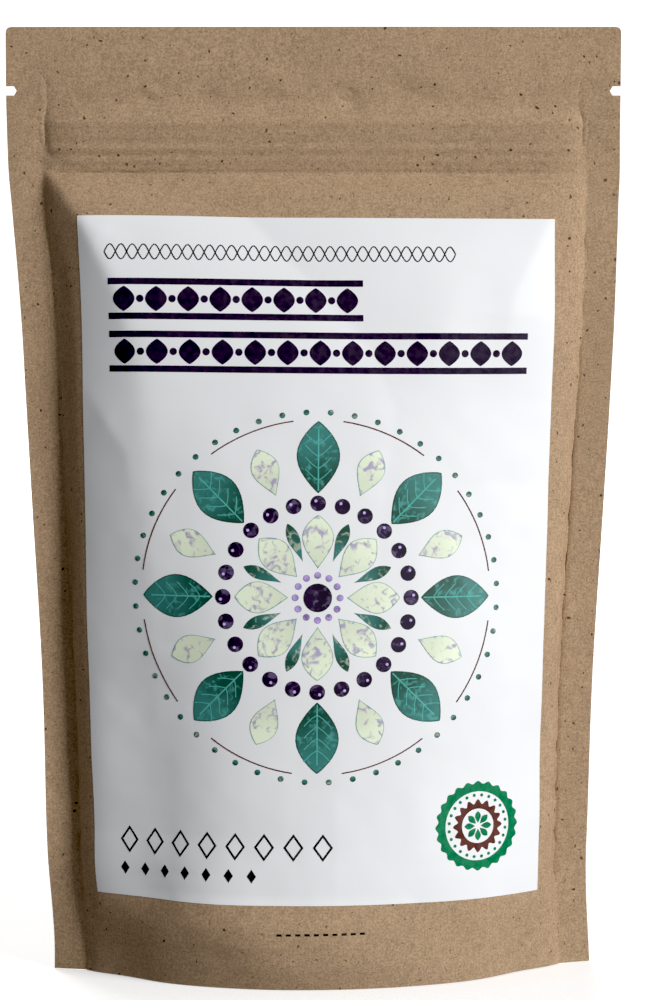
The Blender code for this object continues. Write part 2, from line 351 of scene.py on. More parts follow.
class Wall:
    """One wall of the pouch, read at any run and height on its flat cut."""

    STEP = 0.5 * MM

    def __init__(self, side, relief, pouch):
        self.side = side
        half_width = pouch.bag_width / 2
        half_free = half_width - pouch.side_seal
        columns = round(half_width / self.STEP)
        runs = np.arange(-columns, columns + 1) * self.STEP
        heights = np.arange(0, round(pouch.bag_height / self.STEP) + 1) * self.STEP
        self.first_run = runs[0]
        self.run, self.height = np.meshgrid(runs, heights)
        place = np.zeros((*self.run.shape, 3))
        beyond = np.maximum(np.abs(runs) - half_free, 0)
        for row, height in enumerate(heights):
            along, across, out = section(height, half_free)
            depth = np.where(beyond > 0, 0, np.interp(np.abs(runs), along, out))
            place[row, :, 0] = np.sign(runs) * (np.interp(np.abs(runs), along, across) + beyond)
            place[row, :, 1] = side * (SEAL_GAP / 2 + depth)
            place[row, :, 2] = height
        place[:, :, 0] = evened(place[:, :, 0], EVENED_ROWS)
        open_part = self.open_part(half_free)
        snug = pouch.film * 1.1 - SEAL_GAP / 2
        lift = snug + (CAD_FILM - snug) * open_part
        lift = lift + relief(self.run / MM, self.height / MM) * MM
        place += self.normals(place) * lift[..., None]
        foot = smooth_step(self.height, FOOT_DRAW_TOP, 0)
        place[..., 0] *= 1 - pouch.foot_draw / half_width * foot
        place[..., 0] += pouch.lean * (1.1 * foot - smooth_step(self.height, LEAN_START, LEAN_END))
        place[..., 1] += self.shared_wave(pouch, half_width)
        self.place = place
        self.normal = self.normals(place)

    def open_part(self, half_free):
        """0 where the two walls are welded or lie together, and 1 where they are apart."""
        across = smooth_step(np.abs(self.run), half_free, half_free - 4 * MM)
        return across * smooth_step(self.height, HEADER_BOTTOM, ZIP_TOP)

    def shared_wave(self, pouch, half_width):
        """Waves that both walls follow together, in the header and in the side seals."""
        part = self.run / half_width
        header = smooth_step(self.height, ZIP_BOTTOM - 5 * MM, pouch.bag_height - 13 * MM)
        bow = -pouch.header_bow * header * (1 - 0.25 * part * part)
        twist = pouch.twist * part * smooth_step(self.height, TWIST_TOP, TWIST_FULL)
        edge = smooth_step(np.abs(part), 0.86, 1.0)
        waves = np.sin(self.height / RIPPLE_LENGTH + 2 * np.sign(self.run))
        ripple = pouch.seal_ripple * edge * waves
        slack = clouds(self.run, self.height, HEADER_SLACK_CELL, HEADER_SLACK_SEED)
        slack = HEADER_SLACK * header * slack
        beyond = np.maximum(np.abs(self.run) - half_width + pouch.side_seal, 0)
        left = np.interp(self.height[:, :1], *zip(*LEFT_SEAL_SLOPE))
        right = np.interp(self.height[:, :1], *zip(*RIGHT_SEAL_SLOPE))
        curl = beyond * np.where(self.run < 0, left, right)
        return bow + twist + ripple + slack + curl

    def normals(self, place):
        rise, right = np.gradient(place, axis=(0, 1))
        return unit(self.side * np.cross(rise, right))

    def at(self, run, height, lift=0.0):
        """Places that many metres outside the wall's outer face."""
        column = np.clip((run - self.first_run) / self.STEP, 0, self.run.shape[1] - 1.001)
        row = np.clip(height / self.STEP, 0, self.run.shape[0] - 1.001)
        left = column.astype(int)
        below = row.astype(int)
        s = (column - left)[..., None]
        t = (row - below)[..., None]

        def blended(table):
            low = table[below, left] * (1 - s) + table[below, left + 1] * s
            high = table[below + 1, left] * (1 - s) + table[below + 1, left + 1] * s
            return low * (1 - t) + high * t

        return blended(self.place) + unit(blended(self.normal)) * np.asarray(lift)[..., None]


def crease(run, height, path, width, roundness=2.0):
    """A raised or sunken line along a path of (run, height, lift) points, in millimetres.

    A roundness of 2 is a soft swell, and 1 is a sharp fold.
    """
    nearest = np.full(run.shape, 1e9)
    lift = np.zeros(run.shape)
    for (u0, v0, lift0), (u1, v1, lift1) in zip(path, path[1:]):
        span = (u1 - u0) ** 2 + (v1 - v0) ** 2
        along = np.clip(((run - u0) * (u1 - u0) + (height - v0) * (v1 - v0)) / span, 0, 1)
        distance = np.hypot(run - u0 - along * (u1 - u0), height - v0 - along * (v1 - v0))
        closer = distance < nearest
        nearest = np.where(closer, distance, nearest)
        lift = np.where(closer, lift0 + (lift1 - lift0) * along, lift)
    return lift * np.exp(-((nearest / width) ** roundness))


def mirrored(side, path):
    """A path drawn for the right side, on either side."""
    return [(side * run, height, lift) for run, height, lift in path]


# The relief functions and their tables are in millimetres

SEAL_EDGE = 82
FACET_SHARPNESS = 14.0


def side_facet(run, height, side, ridge):
    """A steep flat wall beside one seal, up to a ridge that the front rises from gently.

    The ridge is (height, distance from the middle, lift, fade) stations, from the bottom up.
    """
    heights, places, lifts, fades = (np.array(column, float) for column in zip(*ridge))
    out = side * run
    ridge_at = np.interp(height, heights, places)
    lift = np.interp(height, heights, lifts)
    fade = np.interp(height, heights, fades)
    rise = (SEAL_EDGE - out) / (SEAL_EDGE - ridge_at)
    fall = 1 - (ridge_at - out) / fade
    lower = np.exp(-FACET_SHARPNESS * rise) + np.exp(-FACET_SHARPNESS * fall)
    return lift * np.clip(-np.log(lower) / FACET_SHARPNESS, 0, 1)


def seal_banks(run, height, lifts):
    """The steeper bank right beside each seal, and the hollows where the base narrows to it."""
    total = 0
    for side, lift in zip((-1, 1), lifts):
        bank = ((0, 74, 0, 45), (35, 74, lift, 50), (200, 74, lift, 50))
        bank += ((232, 76, 0.6 * lift, 40), (243, 80, 0, 40))
        total = total + side_facet(run, height, side, bank)
        hollow = np.exp(-(((side * run - 66) / 13) ** 2)) * smooth_step(height, 36, 0)
        total = total - 2.4 * hollow * smooth_step(np.abs(run), SEAL_EDGE, 79)
    return total


# Lines along the zip, as (height, lift, width)
ZIP_LINES = (
    (255.6, -0.1, 0.8),
    (251.6, -0.17, 0.7),
    (249.7, 0.2, 0.9),
    (247.7, -0.2, 0.8),
    (244.6, -0.3, 1.1),
)
ZIP_END = (
    (81.2, 269, -0.1),
    (81.2, 259, -0.2),
    (81.2, 255.5, -0.55),
    (81, 252, -0.5),
    (79.5, 247.5, -0.3),
    (72, 244, -0.1),
)
SHOULDER_RIDGE = ((81, 242, 0.1), (71, 229, 1.0), (59, 206, 0.9), (55, 186, 0.1))
SHOULDER_HOLLOW = ((80.5, 238, -0.1), (76, 222, -0.7), (74, 200, -0.5), (74, 175, 0))


def zip_relief(run, height, seed):
    """The closed zip seen through the wall: a flat band, a bead, and crushed ends."""
    inside = smooth_step(np.abs(run), 81.5, 76)
    stiff = smooth_step(np.abs(run), SEAL_EDGE, 71)
    stiff = stiff * smooth_step(height, 238, 243.5) * smooth_step(height, 266, 256)
    band = smooth_step(height, 242.6, 243.6) * smooth_step(height, 258.6, 257.4)
    shape = 0.25 * band
    for level, lift, width in ZIP_LINES:
        shape = shape + lift * np.exp(-(((height - level) / width) ** 2))
    valley = -0.6 * np.exp(-((np.abs(height - 242.5) / 1.2) ** 1.4))
    uneven = 1 + 0.45 * clouds(run, 0 * height, 17, seed) + 0.25 * clouds(run, height, 5, seed + 40)
    crush = 0
    for side in (-1, 1):
        crush = crush + crease(run, height, mirrored(side, ZIP_END), 0.9, 1.5)
    return 0.9 * stiff + (shape + valley) * inside * uneven + crush


def shoulder_relief(run, height, sizes):
    """The corner facets below the zip's ends, and the hollow between each and the zip."""
    total = 0
    for side, size in zip((-1, 1), sizes):
        total = total + size * crease(run, height, mirrored(side, SHOULDER_RIDGE), 6.5, 1.25)
        total = total + size * crease(run, height, mirrored(side, SHOULDER_HOLLOW), 5)
    return total


def slack_header(run, height, dents):
    """Dents in the loose strip between the zip and the top seal."""
    loose = smooth_step(height, 257.5, 260) * smooth_step(height, 271.5, 269.5)
    total = 0.25 * clouds(run, height, 15, 21) * loose
    for path, width in dents:
        total = total + crease(run, height, path, width, 1.7) * smooth_step(height, 256, 259.5)
    step = 0.1 * smooth_step(height, 271.4, 270.2)
    return total + step * smooth_step(np.abs(run), SEAL_EDGE, 80)


PUCKERS_TOP = 232.0
PUCKERS_BOTTOM = 12


def seal_puckers(run, height, seed, side):
    """Short dents where the wall turns out of the side seal."""
    total = 0
    chance = np.random.default_rng(seed)
    level = PUCKERS_TOP
    while level > PUCKERS_BOTTOM:
        level -= chance.uniform(9, 20)
        reach = chance.uniform(4, 9)
        drop = chance.uniform(-4, 4)
        depth = -chance.uniform(0.12, 0.42)
        path = [(side * 81.8, level, depth), (side * (81.8 - reach), level + drop, 0)]
        total = total + crease(run, height, path, chance.uniform(1.6, 3.2))
    return total


def belly_lumps(run, height, seed):
    """Broad swells of the fill, and the faint knobs of berries against the wall."""
    inside = smooth_step(np.abs(run), 81, 70) * smooth_step(height, 236, 215) * smooth_step(height, 0, 10)
    filled = smooth_step(height, 190, 165)
    broad = 0.55 * clouds(run, height, 46, seed) + 0.28 * clouds(run, height, 21, seed + 1)
    knobs = 0.06 * clouds(run, height, 6.5, seed + 2) * filled
    return (broad + knobs) * inside


def wall_relief(run, height, seeds, shoulders, facets, banks, dents, folds):
    """Outward shift of a wall from its smooth shape, in millimetres."""
    zip_seed, lump_seed, *pucker_seeds = seeds
    total = zip_relief(run, height, zip_seed) + shoulder_relief(run, height, shoulders)
    for side, ridge in facets:
        total = total + side_facet(run, height, side, ridge)
    total = total + seal_banks(run, height, banks)
    total = total + slack_header(run, height, dents) + belly_lumps(run, height, lump_seed)
    for side, seed in zip((-1, 1), pucker_seeds):
        total = total + seal_puckers(run, height, seed, side)
    for path, width, roundness in folds:
        total = total + crease(run, height, path, width, roundness)
    return total


# Dents of the header, as (path, width), and folds, as (path, width, roundness)
FRONT_DENTS = (
    (((-36, 270, -0.1), (-33, 267, -0.55), (-30, 262.5, -0.2)), 2.6),
    (((5, 271, -0.15), (9.5, 266, -0.75), (13.5, 259.5, -0.3)), 2.4),
    (((-13, 271, 0.3), (-8, 267, 0.5), (-2.5, 262.5, 0.25)), 3.4),
    (((-66.5, 262, -0.1), (-66, 259.5, -0.4), (-63, 259, -0.1)), 1.8),
    (((-16, 262, -0.1), (-14.5, 260.5, -0.3), (-12, 260, -0.05)), 1.8),
    (((24, 270.5, -0.25), (28, 267, -0.4), (40, 264, -0.05)), 2.2),
    (((50, 262, 0.05), (57, 267, 0.4), (61, 271, 0.1)), 3.0),
    (((-80.8, 270, -0.3), (-80.6, 258, -0.3)), 1.5),
    (((80.8, 270, -0.3), (80.6, 258, -0.3)), 1.5),
)
FRONT_FOLDS = (
    (((-73, 230, 0.1), (-64, 224.5, 0.5), (-54, 219, 0.0)), 5, 1.3),
    (((-71, 180, 0.1), (-63, 168, 0.7), (-56.5, 159, 0.5), (-55, 139, 0.0)), 6, 1.3),
    (((-64, 60, 0.0), (-53, 43, 0.2), (-41, 24, 0.4), (-20, 5, 0.1)), 7, 1.4),
    (((3, 56, 0.0), (4, 40, -0.35), (7, 26, -0.2), (10, 10, 0)), 7, 1.6),
    (((44, 214, 0.0), (38, 196, 0.45), (31, 176, 0.1)), 9, 1.5),
    (((52, 120, 0.0), (58, 90, 0.45), (55, 60, 0.1)), 9, 1.6),
    (((-72, 12, 0.0), (-72, 30, 0.6), (-72, 70, 0.6), (-72.5, 110, 0.6), (-72.5, 150, 0.0)), 7, 1.2),
    (
        ((-50, 16, -0.4), (-53, 32, -3.0), (-53, 50, -3.2))
        + ((-53, 90, -2.2), (-50, 125, -0.5), (-49, 150, 0.0)),
        17,
        2.0,
    ),
    (((-81, 213, 0.0), (-78, 208.5, -0.6), (-74.5, 205, 0.1)), 1.7, 1.3),
    (((-80.5, 190, 0.0), (-77.5, 185, -0.8), (-74, 181, 0.1)), 1.9, 1.3),
    (
        ((-79.6, 104, 0.0), (-79, 126, -1.5), (-78.4, 190, -2.0))
        + ((-78.6, 212, -1.2), (-80.5, 229, 0.0)),
        3.2,
        2.0,
    ),
    (
        ((60, 20, 0.0), (60, 36, -1.0), (58, 85, -1.8))
        + ((59, 150, -2.2), (60, 175, -1.4), (62, 200, 0.0)),
        24,
        2.0,
    ),
    (((6, 4, 0.1), (5, 20, 0.6), (5, 45, 0.7), (6, 75, 0.0)), 12, 1.2),
)
BACK_DENTS = (
    (((-52, 271, -0.2), (-47, 266, -0.6), (-45, 260, -0.1)), 2.6),
    (((20, 270, 0.1), (26, 265, 0.45), (35, 262, 0.1)), 3.2),
)
BACK_FOLDS = (
    (((-70, 150, 0.1), (-58, 138, 0.6), (-50, 120, 0.1)), 7, 1.4),
    (((66, 100, 0.1), (56, 80, 0.6), (50, 58, 0.1)), 7, 1.4),
    (((-30, 232, 0.1), (-18, 205, 0.5), (-15, 180, 0.0)), 9, 1.6),
    (((58, 50, 0.0), (46, 30, 0.5), (28, 6, 0.1)), 7, 1.4),
)
# Ridges of side facets, as (height, distance from the middle, lift, fade)
LEFT_RIDGE = (
    (0, 12, 1.2, 60),
    (7, 16, 3.6, 60),
    (14, 20, 4.8, 60),
    (19, 22, 4.8, 60),
    (28, 34, 2.0, 60),
    (45, 45, 0.3, 60),
    (60, 47, 0.6, 60),
    (85, 48, 1.8, 60),
    (100, 49, 2.8, 65),
    (148, 50, 3.6, 70),
    (172, 52, 4.3, 75),
    (190, 54, 4.5, 70),
    (206, 58, 4.9, 60),
    (229, 70, 4.2, 50),
    (238, 77, 2.2, 30),
    (243.5, 81, 0, 12),
)
LOW_LEFT_RIDGE = (
    (0, 66, 0.2, 30),
    (22, 71, 0.5, 26),
    (70, 72, 0.5, 26),
    (110, 72.5, 0.7, 26),
    (160, 73, 0, 26),
)
RIGHT_RIDGE = (
    (0, 50, 0.6, 50),
    (40, 53, 1.9, 60),
    (90, 55, 1.1, 60),
    (150, 57, 0.2, 60),
    (200, 60, 0.1, 45),
    (226, 68, 0.3, 26),
    (242, 79, 0.2, 12),
    (244, 80, 0, 12),
)
BACK_RIDGE = (
    (0, 48, 0, 50),
    (40, 50, 0.8, 60),
    (90, 52, 2.2, 60),
    (150, 54, 2.6, 60),
    (200, 57, 2.0, 45),
    (226, 67, 1.4, 26),
    (242, 79, 0.2, 12),
    (244, 80, 0, 12),
)


def front_relief(run, height):
    facets = ((-1, LOW_LEFT_RIDGE), (-1, LEFT_RIDGE), (1, RIGHT_RIDGE))
    seeds = (5, 11, 31, 32)
    return wall_relief(run, height, seeds, (0.5, 0.5), facets, (0.4, 0.5), FRONT_DENTS, FRONT_FOLDS)


def back_relief(run, height):
    facets = ((-1, BACK_RIDGE), (1, BACK_RIDGE))
    seeds = (6, 47, 33, 34)
    return wall_relief(run, height, seeds, (0.6, 0.5), facets, (1.4, 1.4), BACK_DENTS, BACK_FOLDS)


WALLS = {}


def wall_of(side, pouch):
    """The wall's table, made once."""
    if side not in WALLS:
        WALLS[side] = Wall(side, front_relief if side == FRONT else back_relief, pouch)
    return WALLS[side]


# Meshes

SHARP_ANGLE = math.radians(50)
WELD_DISTANCE = 0.01 * MM


def smoothed(mesh):
    """The mesh, shaded smooth but for its sharp edges."""
    mesh.shade_smooth()
    mesh.set_sharp_from_angle(angle=SHARP_ANGLE)
    return mesh


def linked(name, data):
    """New object in the scene."""
    made = bpy.data.objects.new(name, data)
    bpy.context.scene.collection.objects.link(made)
    return made


def welded(node):
    """Editable copy of a frame's solid, with its doubled corners merged."""
    shape = bmesh.new()
    shape.from_mesh(node.data)
    bmesh.ops.remove_doubles(shape, verts=shape.verts, dist=WELD_DISTANCE)
    return shape


def mesh_of(name, shape):
    """Mesh of an editable shape, which it frees."""
    mesh = bpy.data.meshes.new(name)
    shape.to_mesh(mesh)
    shape.free()
    return mesh


def closed_sheet(name, over, under, kept=None, flat=None):
    """Mesh of a thin closed sheet between two grids of places, seen from over.

    kept says which cells are there, and flat gives each grid point its UV place.
    """
    rows, columns = over.shape[:2]
    number = np.arange(rows * columns).reshape(rows, columns)
    if kept is None:
        kept = np.ones((rows - 1, columns - 1), bool)
    corners = (number[:-1, :-1], number[:-1, 1:], number[1:, 1:], number[1:, :-1])
    quads = np.stack(corners, axis=-1)[kept]
    edges = np.concatenate([quads[:, [side, (side + 1) % 4]] for side in range(4)])
    ends, uses = np.unique(np.sort(edges, axis=1), axis=0, return_counts=True)
    single = {tuple(pair) for pair in ends[uses == 1].tolist()}
    rim = np.array([pair for pair in edges.tolist() if tuple(sorted(pair)) in single])
    shift = rows * columns
    walls = np.stack([rim[:, 1], rim[:, 0], rim[:, 0] + shift, rim[:, 1] + shift], axis=-1)
    faces = np.concatenate([quads, quads[:, ::-1] + shift, walls])
    used, faces = np.unique(faces, return_inverse=True)
    faces = faces.reshape(-1, 4)
    places = np.concatenate([over.reshape(-1, 3), under.reshape(-1, 3)])[used]
    mesh = bpy.data.meshes.new(name)
    mesh.from_pydata(places.tolist(), [], faces.tolist())
    if flat is not None:
        both = np.concatenate([flat.reshape(-1, 2)] * 2)[used]
        layer = mesh.uv_layers.new(name="flat")
        layer.data.foreach_set("uv", both[faces.ravel()].astype(np.float32).ravel())
    return smoothed(mesh)


def finish_piece(name, mesh, material, slot, *nodes):
    """Object for a finished mesh, riding on the pouch and standing for its CAD nodes."""
    made = linked(name, mesh)
    mesh.materials.clear()
    mesh.materials.append(material)
    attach(made, BODY)
    if nodes:
        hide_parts(*nodes)
    return made


def wall_grid(pouch):
    """Runs and heights of a wall's mesh, closer together where the wall is busy.

    The stretches are in millimetres, as (start, end, step).
    """
    half = pouch.bag_width / 2 / MM
    notch = (pouch.bag_height - pouch.notch_below_top) / MM
    reach = pouch.notch_height / 2 / MM
    tip = half - pouch.notch_depth / MM
    outer = graded((0, 66, 1.6), (66, 76, 1.1), (76, 84, 0.7), (84, tip, 1.1), (tip, half, 0.8))
    runs = np.concatenate([-outer[:0:-1], outer]) * MM
    low = graded((0, 8, 1.0), (8, 232, 1.6), (232, 240, 1.0), (240, 259, 0.65))
    notched = (notch - reach, notch + reach, 0.45)
    high = graded((259, notch - reach, 1.0), notched, (notch + reach, 283, 1.1))
    top = graded((283, pouch.bag_height / MM, 0.6))
    heights = np.concatenate([low[:-1], high[:-1], top]) * MM
    return np.meshgrid(runs, heights)


def wall_mesh(name, side, pouch):
    run, height = wall_grid(pouch)
    half = pouch.bag_width / 2
    middle = pouch.bag_height - pouch.notch_below_top
    tip = half - pouch.notch_depth
    near = np.abs(height - middle) <= pouch.notch_height / 2 + 1e-6
    edge = np.isclose(np.abs(run), tip, atol=1e-5)
    point = 1 - np.abs(height - middle) / (pouch.notch_height / 2)
    pointed = run - np.sign(run) * pouch.notch_point * point * (near & edge)
    beyond = np.minimum(np.abs(run[:-1, :-1]), np.abs(run[1:, 1:])) > tip - 1e-5
    cut = beyond & near[:-1, :-1] & near[1:, 1:]

    corner_run = np.maximum(np.abs(pointed) - (half - pouch.corner), 0) / pouch.corner
    corner_up = np.maximum(height - (pouch.bag_height - pouch.corner), 0) / pouch.corner
    reach = np.hypot(corner_run, corner_up)
    pull = np.where(reach > 0, np.maximum(corner_run, corner_up) / np.maximum(reach, 1e-9), 1)
    turned = (corner_run > 0) & (corner_up > 0)
    run_in = np.where(turned, corner_run * (1 - pull) * pouch.corner, 0)
    up_in = np.where(turned, corner_up * (1 - pull) * pouch.corner, 0)
    run = pointed - np.sign(pointed) * run_in
    height = height - up_in

    wall = wall_of(side, pouch)
    if side == BACK:
        run, height, cut = run[:, ::-1], height[:, ::-1], cut[:, ::-1]
    over = wall.at(run, height)
    under = wall.at(run, height, -pouch.film)
    return closed_sheet(name, over, under, ~cut, np.stack([run, height], axis=-1))


# Node trees


class Signal:
    """An output socket that can be used in sums."""

    def __init__(self, graph, socket):
        self.graph = graph
        self.socket = socket

    def __add__(self, other):
        return self.graph.maths("ADD", self, other)

    def __radd__(self, other):
        return self.graph.maths("ADD", other, self)

    def __sub__(self, other):
        return self.graph.maths("SUBTRACT", self, other)

    def __mul__(self, other):
        return self.graph.maths("MULTIPLY", self, other)

    def __rmul__(self, other):
        return self.graph.maths("MULTIPLY", other, self)

    def ramp(self, low, high):
        """0 at low and 1 at high, smooth between; low may be above high."""
        ends = (low, high, 0, 1) if low <= high else (high, low, 1, 0)
        inputs = dict(enumerate((self, *ends)))
        return self.graph.node("ShaderNodeMapRange", inputs, interpolation_type="SMOOTHSTEP")


class Graph:
    """A node tree that is built one call at a time."""

    def __init__(self, tree):
        self.tree = tree

    def node(self, kind, inputs=None, output=0, **settings):
        """Output of a new node, whose settings come before its inputs."""
        made = self.tree.nodes.new(kind)
        for name, value in settings.items():
            setattr(made, name, value)
        for key, value in (inputs or {}).items():
            self.feed(made.inputs[key], value)
        return Signal(self, made.outputs[output])

    def beside(self, signal, output):
        """Another output of the node that a signal comes from."""
        return Signal(self, signal.socket.node.outputs[output])

    def maths(self, operation, first, second):
        return self.node("ShaderNodeMath", {0: first, 1: second}, operation=operation)

    def feed(self, socket, value):
        if isinstance(value, Signal):
            self.tree.links.new(value.socket, socket)
        else:
            socket.default_value = value


class Paint(Graph):
    """A material with a Principled shader, and helpers for patterns."""

    def __init__(self, name, roughness, **constants):
        self.material = bpy.data.materials.new(name)
        self.material.use_nodes = True
        super().__init__(self.material.node_tree)
        self.shader = self.tree.nodes["Principled BSDF"]
        self.shaded("Roughness", roughness)
        for key, value in constants.items():
            self.shaded(key.replace("_", " "), value)
        self.objects = self.node("ShaderNodeTexCoord", output="Object")

    def placed(self, source, scale, shift=(0, 0, 0)):
        """Coordinates multiplied by a scale, in cells per metre."""
        inputs = {"Vector": source, "Location": shift, "Scale": scale}
        return self.node("ShaderNodeMapping", inputs)

    def noise(self, vector, scale=1.0, detail=2.0, distortion=0.0):
        inputs = {"Vector": vector, "Scale": scale, "Detail": detail, "Distortion": distortion}
        return self.node("ShaderNodeTexNoise", inputs)

    def specks(self, vector, radius, chance):
        """1 inside round specks that a share of the cells have, of up to a radius in cells."""
        cells = self.node("ShaderNodeTexVoronoi", {"Vector": vector, "Scale": 1.0})
        parts = self.node("ShaderNodeSeparateColor", {0: self.beside(cells, "Color")})
        size = self.beside(parts, "Green") * (0.6 * radius) + 0.4 * radius
        kept = self.maths("LESS_THAN", parts, chance)
        return kept * (size - cells).ramp(0.0, 0.3 * radius)

    def mixed(self, factor, first, second):
        """Mix of two colours, each a signal or red, green and blue."""
        inputs = {"Factor": factor}
        for key, value in ((6, first), (7, second)):
            inputs[key] = value if isinstance(value, Signal) else (*value, 1.0)
        return self.node("ShaderNodeMix", inputs, 2, data_type="RGBA")

    def shaded(self, key, value):
        self.feed(self.shader.inputs[key], value)

    def bumped(self, height, strength, distance):
        inputs = {"Height": height, "Strength": strength, "Distance": distance}
        self.shaded("Normal", self.node("ShaderNodeBump", inputs))


def scaled(rgb, factor):
    return tuple(min(1.0, value * factor) for value in rgb)


def kraft_paint(name, finish, shade=1.0):
    """Unbleached kraft: sandy grain, soft mottling, and scattered bark flecks and fibres; a shade below 1
    darkens it all, as painted shade.
    """
    paint = Paint(name, 0.78, Specular_IOR_Level=0.06)
    place = paint.objects
    cloudy = paint.noise(place, 75.0, 3.0)
    mottle = paint.noise(place, 420.0, 3.0)
    grain = paint.noise(place, 1900.0, 4.0)
    upright = paint.noise(paint.placed(place, (1700, 1700, 240)), 1.0, 2.0, 0.4)
    level = paint.noise(paint.placed(place, (300, 600, 2000)), 1.0, 2.0, 0.4)
    fibres = 0.08 * cloudy + 0.12 * mottle + 0.58 * grain + 0.12 * upright + 0.1 * level
    contrast = 0.13 + 0.1 * (1 - finish.grain)
    dark = scaled(finish.paper, 0.7 * shade)
    light = scaled(finish.paper, 1.3 * shade)
    tone = paint.mixed(fibres.ramp(0.5 - contrast, 0.5 + contrast), dark, light)

    drift = paint.node("ShaderNodeTexNoise", {"Vector": place, "Scale": 600.0}, "Color")
    wobble = {0: drift, 1: (1.7 * MM,) * 3, 2: place}
    wobbly = paint.node("ShaderNodeVectorMath", wobble, operation="MULTIPLY_ADD")
    marks = (
        # cells per spacing along X, Y and Z, radius in cells, share of cells, strength, colour
        ((3.0, 3.0, 3.0), 0.17, 0.5, 0.45, scaled(finish.pale, shade)),
        ((3.4, 3.4, 3.1), 0.17, 0.6, 0.6, scaled(finish.fleck, 1.7)),
        ((2.6, 2.6, 0.7), 0.13, 0.5, 0.6, scaled(finish.fleck, 2.0)),
        ((0.7, 2.2, 2.8), 0.13, 0.4, 0.55, scaled(finish.fleck, 2.2)),
        ((1.8, 1.8, 1.4), 0.17, 0.6, 0.8, scaled(finish.fleck, 1.3)),
        ((1.1, 1.2, 1.3), 0.13, 0.6, 0.9, finish.fleck),
        ((0.9, 0.9, 0.9), 0.065, 0.25, 0.75, (0.03, 0.15, 0.1)),
        ((0.7, 0.8, 0.9), 0.06, 0.2, 0.85, (0.16, 0.015, 0.015)),
    )
    for index, (cells, radius, chance, strength, ink) in enumerate(marks):
        scale = tuple(1 / finish.fleck_spacing * cell for cell in cells)
        shifted = paint.placed(wobbly, scale, (3.7 * index, 1.9 * index, 5.3 * index))
        tone = paint.mixed(strength * paint.specks(shifted, radius, chance), tone, ink)
    paint.shaded("Base Color", tone)
    paint.shaded("Roughness", 0.66 + 0.16 * fibres)
    paint.bumped(0.6 * grain + 0.25 * upright + 0.15 * mottle, 0.4, 0.00008)
    return paint.material


def label_paint(label):
    """Coated label paper with a faint tooth."""
    paint = Paint("label_paper", 0.5)
    tooth = paint.noise(paint.objects, 1800.0, 3.0)
    cloudy = paint.noise(paint.objects, 60.0, 2.0)
    paint.shaded("Base Color", paint.mixed(cloudy.ramp(0.3, 0.7), scaled(label.paper, 0.985), label.paper))
    paint.shaded("Roughness", 0.46 + 0.08 * tooth)
    paint.bumped(tooth, 0.12, 0.00003)
    return paint.material


def plain_ink(name, ink, spread=0.25):
    """A flat ink with slight unevenness."""
    paint = Paint(name, 0.5, Specular_IOR_Level=0.22)
    patchy = paint.noise(paint.objects, 500.0, 3.0)
    dark = scaled(ink, 1 - spread)
    light = tuple(value + spread * 0.08 for value in ink)
    paint.shaded("Base Color", paint.mixed(patchy.ramp(0.25, 0.75), dark, light))
    paint.shaded("Roughness", 0.38 + 0.1 * patchy)
    return paint.material


def wash_ink(name, inner, outer, bloom, rim):
    """Watercolour: two colours along a shape, a third that blooms through, a darker rim."""
    paint = Paint(name, 0.5)
    pool = paint.node("ShaderNodeAttribute", output="Fac", attribute_name="pool")
    tone = paint.node("ShaderNodeAttribute", output="Fac", attribute_name="tone")
    broad = paint.noise(paint.objects, 95.0, 3.0, 0.6)
    fine = paint.noise(paint.objects, 420.0, 4.0, 0.8)
    along = (tone + 0.7 * broad - 0.35).ramp(0.15, 0.85)
    washed = paint.mixed(along, inner, outer)
    washed = paint.mixed(0.75 * fine.ramp(0.5, 0.68), washed, bloom)
    edge = (pool + 0.5 * fine - 0.25).ramp(0.35, 0.95)
    paint.shaded("Base Color", paint.mixed(0.8 * edge, washed, rim))
    paint.shaded("Roughness", 0.42 + 0.12 * fine)
    return paint.material


# Flat art, drawn in metres with X to the right and Y up


def band_faces(count, bands):
    """Faces between nested outlines of as many points each."""
    steps = [(index, (index + 1) % count) for index in range(count)]
    lows = [band * count for band in range(bands)]
    return [(low + a, low + b, low + count + b, low + count + a) for low in lows for a, b in steps]


def disc_shape(name, outline, rings=(1.0, 0.84, 0.55), centre=(0.0, 0.0)):
    """Closed flat shape as nested copies of its outline, the first of which is itself."""
    outline = np.asarray(outline, float)
    middle = np.asarray(centre, float)
    count = len(outline)
    copies = [middle + (outline - middle) * ring for ring in rings]
    places = np.concatenate(copies + [middle[None]])
    pool = (np.arange(len(places)) < count).astype(float)
    faces = band_faces(count, len(rings) - 1)
    last = (len(rings) - 1) * count
    faces += [(last + index, last + (index + 1) % count, len(places) - 1) for index in range(count)]
    return flat_mesh(name, places, faces, pool)


def ring_shape(name, outer, inner):
    """Flat shape with a hole, between two outlines of as many points."""
    count = len(outer)
    middle = (np.asarray(outer) + np.asarray(inner)) / 2
    places = np.concatenate([outer, middle, inner])
    pool = np.repeat([1.0, 0.0, 1.0], count)
    return flat_mesh(name, places, band_faces(count, 2), pool)


def flat_mesh(name, places, faces, pool):
    """Flat mesh whose pool is 1 at outlines and 0 inside, and whose tone grows along X to 1."""
    mesh = bpy.data.meshes.new(name)
    mesh.from_pydata([(x, y, 0.0) for x, y in places], [], faces)
    reach = places[:, 0]
    tone = (reach - reach.min()) / max(np.ptp(reach), 1e-9)
    for key, values in (("pool", pool), ("tone", tone)):
        layer = mesh.attributes.new(key, "FLOAT", "POINT")
        layer.data.foreach_set("value", np.asarray(values, np.float32))
    return mesh


def circle_outline(radius, count=24, x=0.0, y=0.0):
    turns = np.arange(count) * 2 * math.pi / count
    return np.stack([x + radius * np.cos(turns), y + radius * np.sin(turns)], axis=-1)


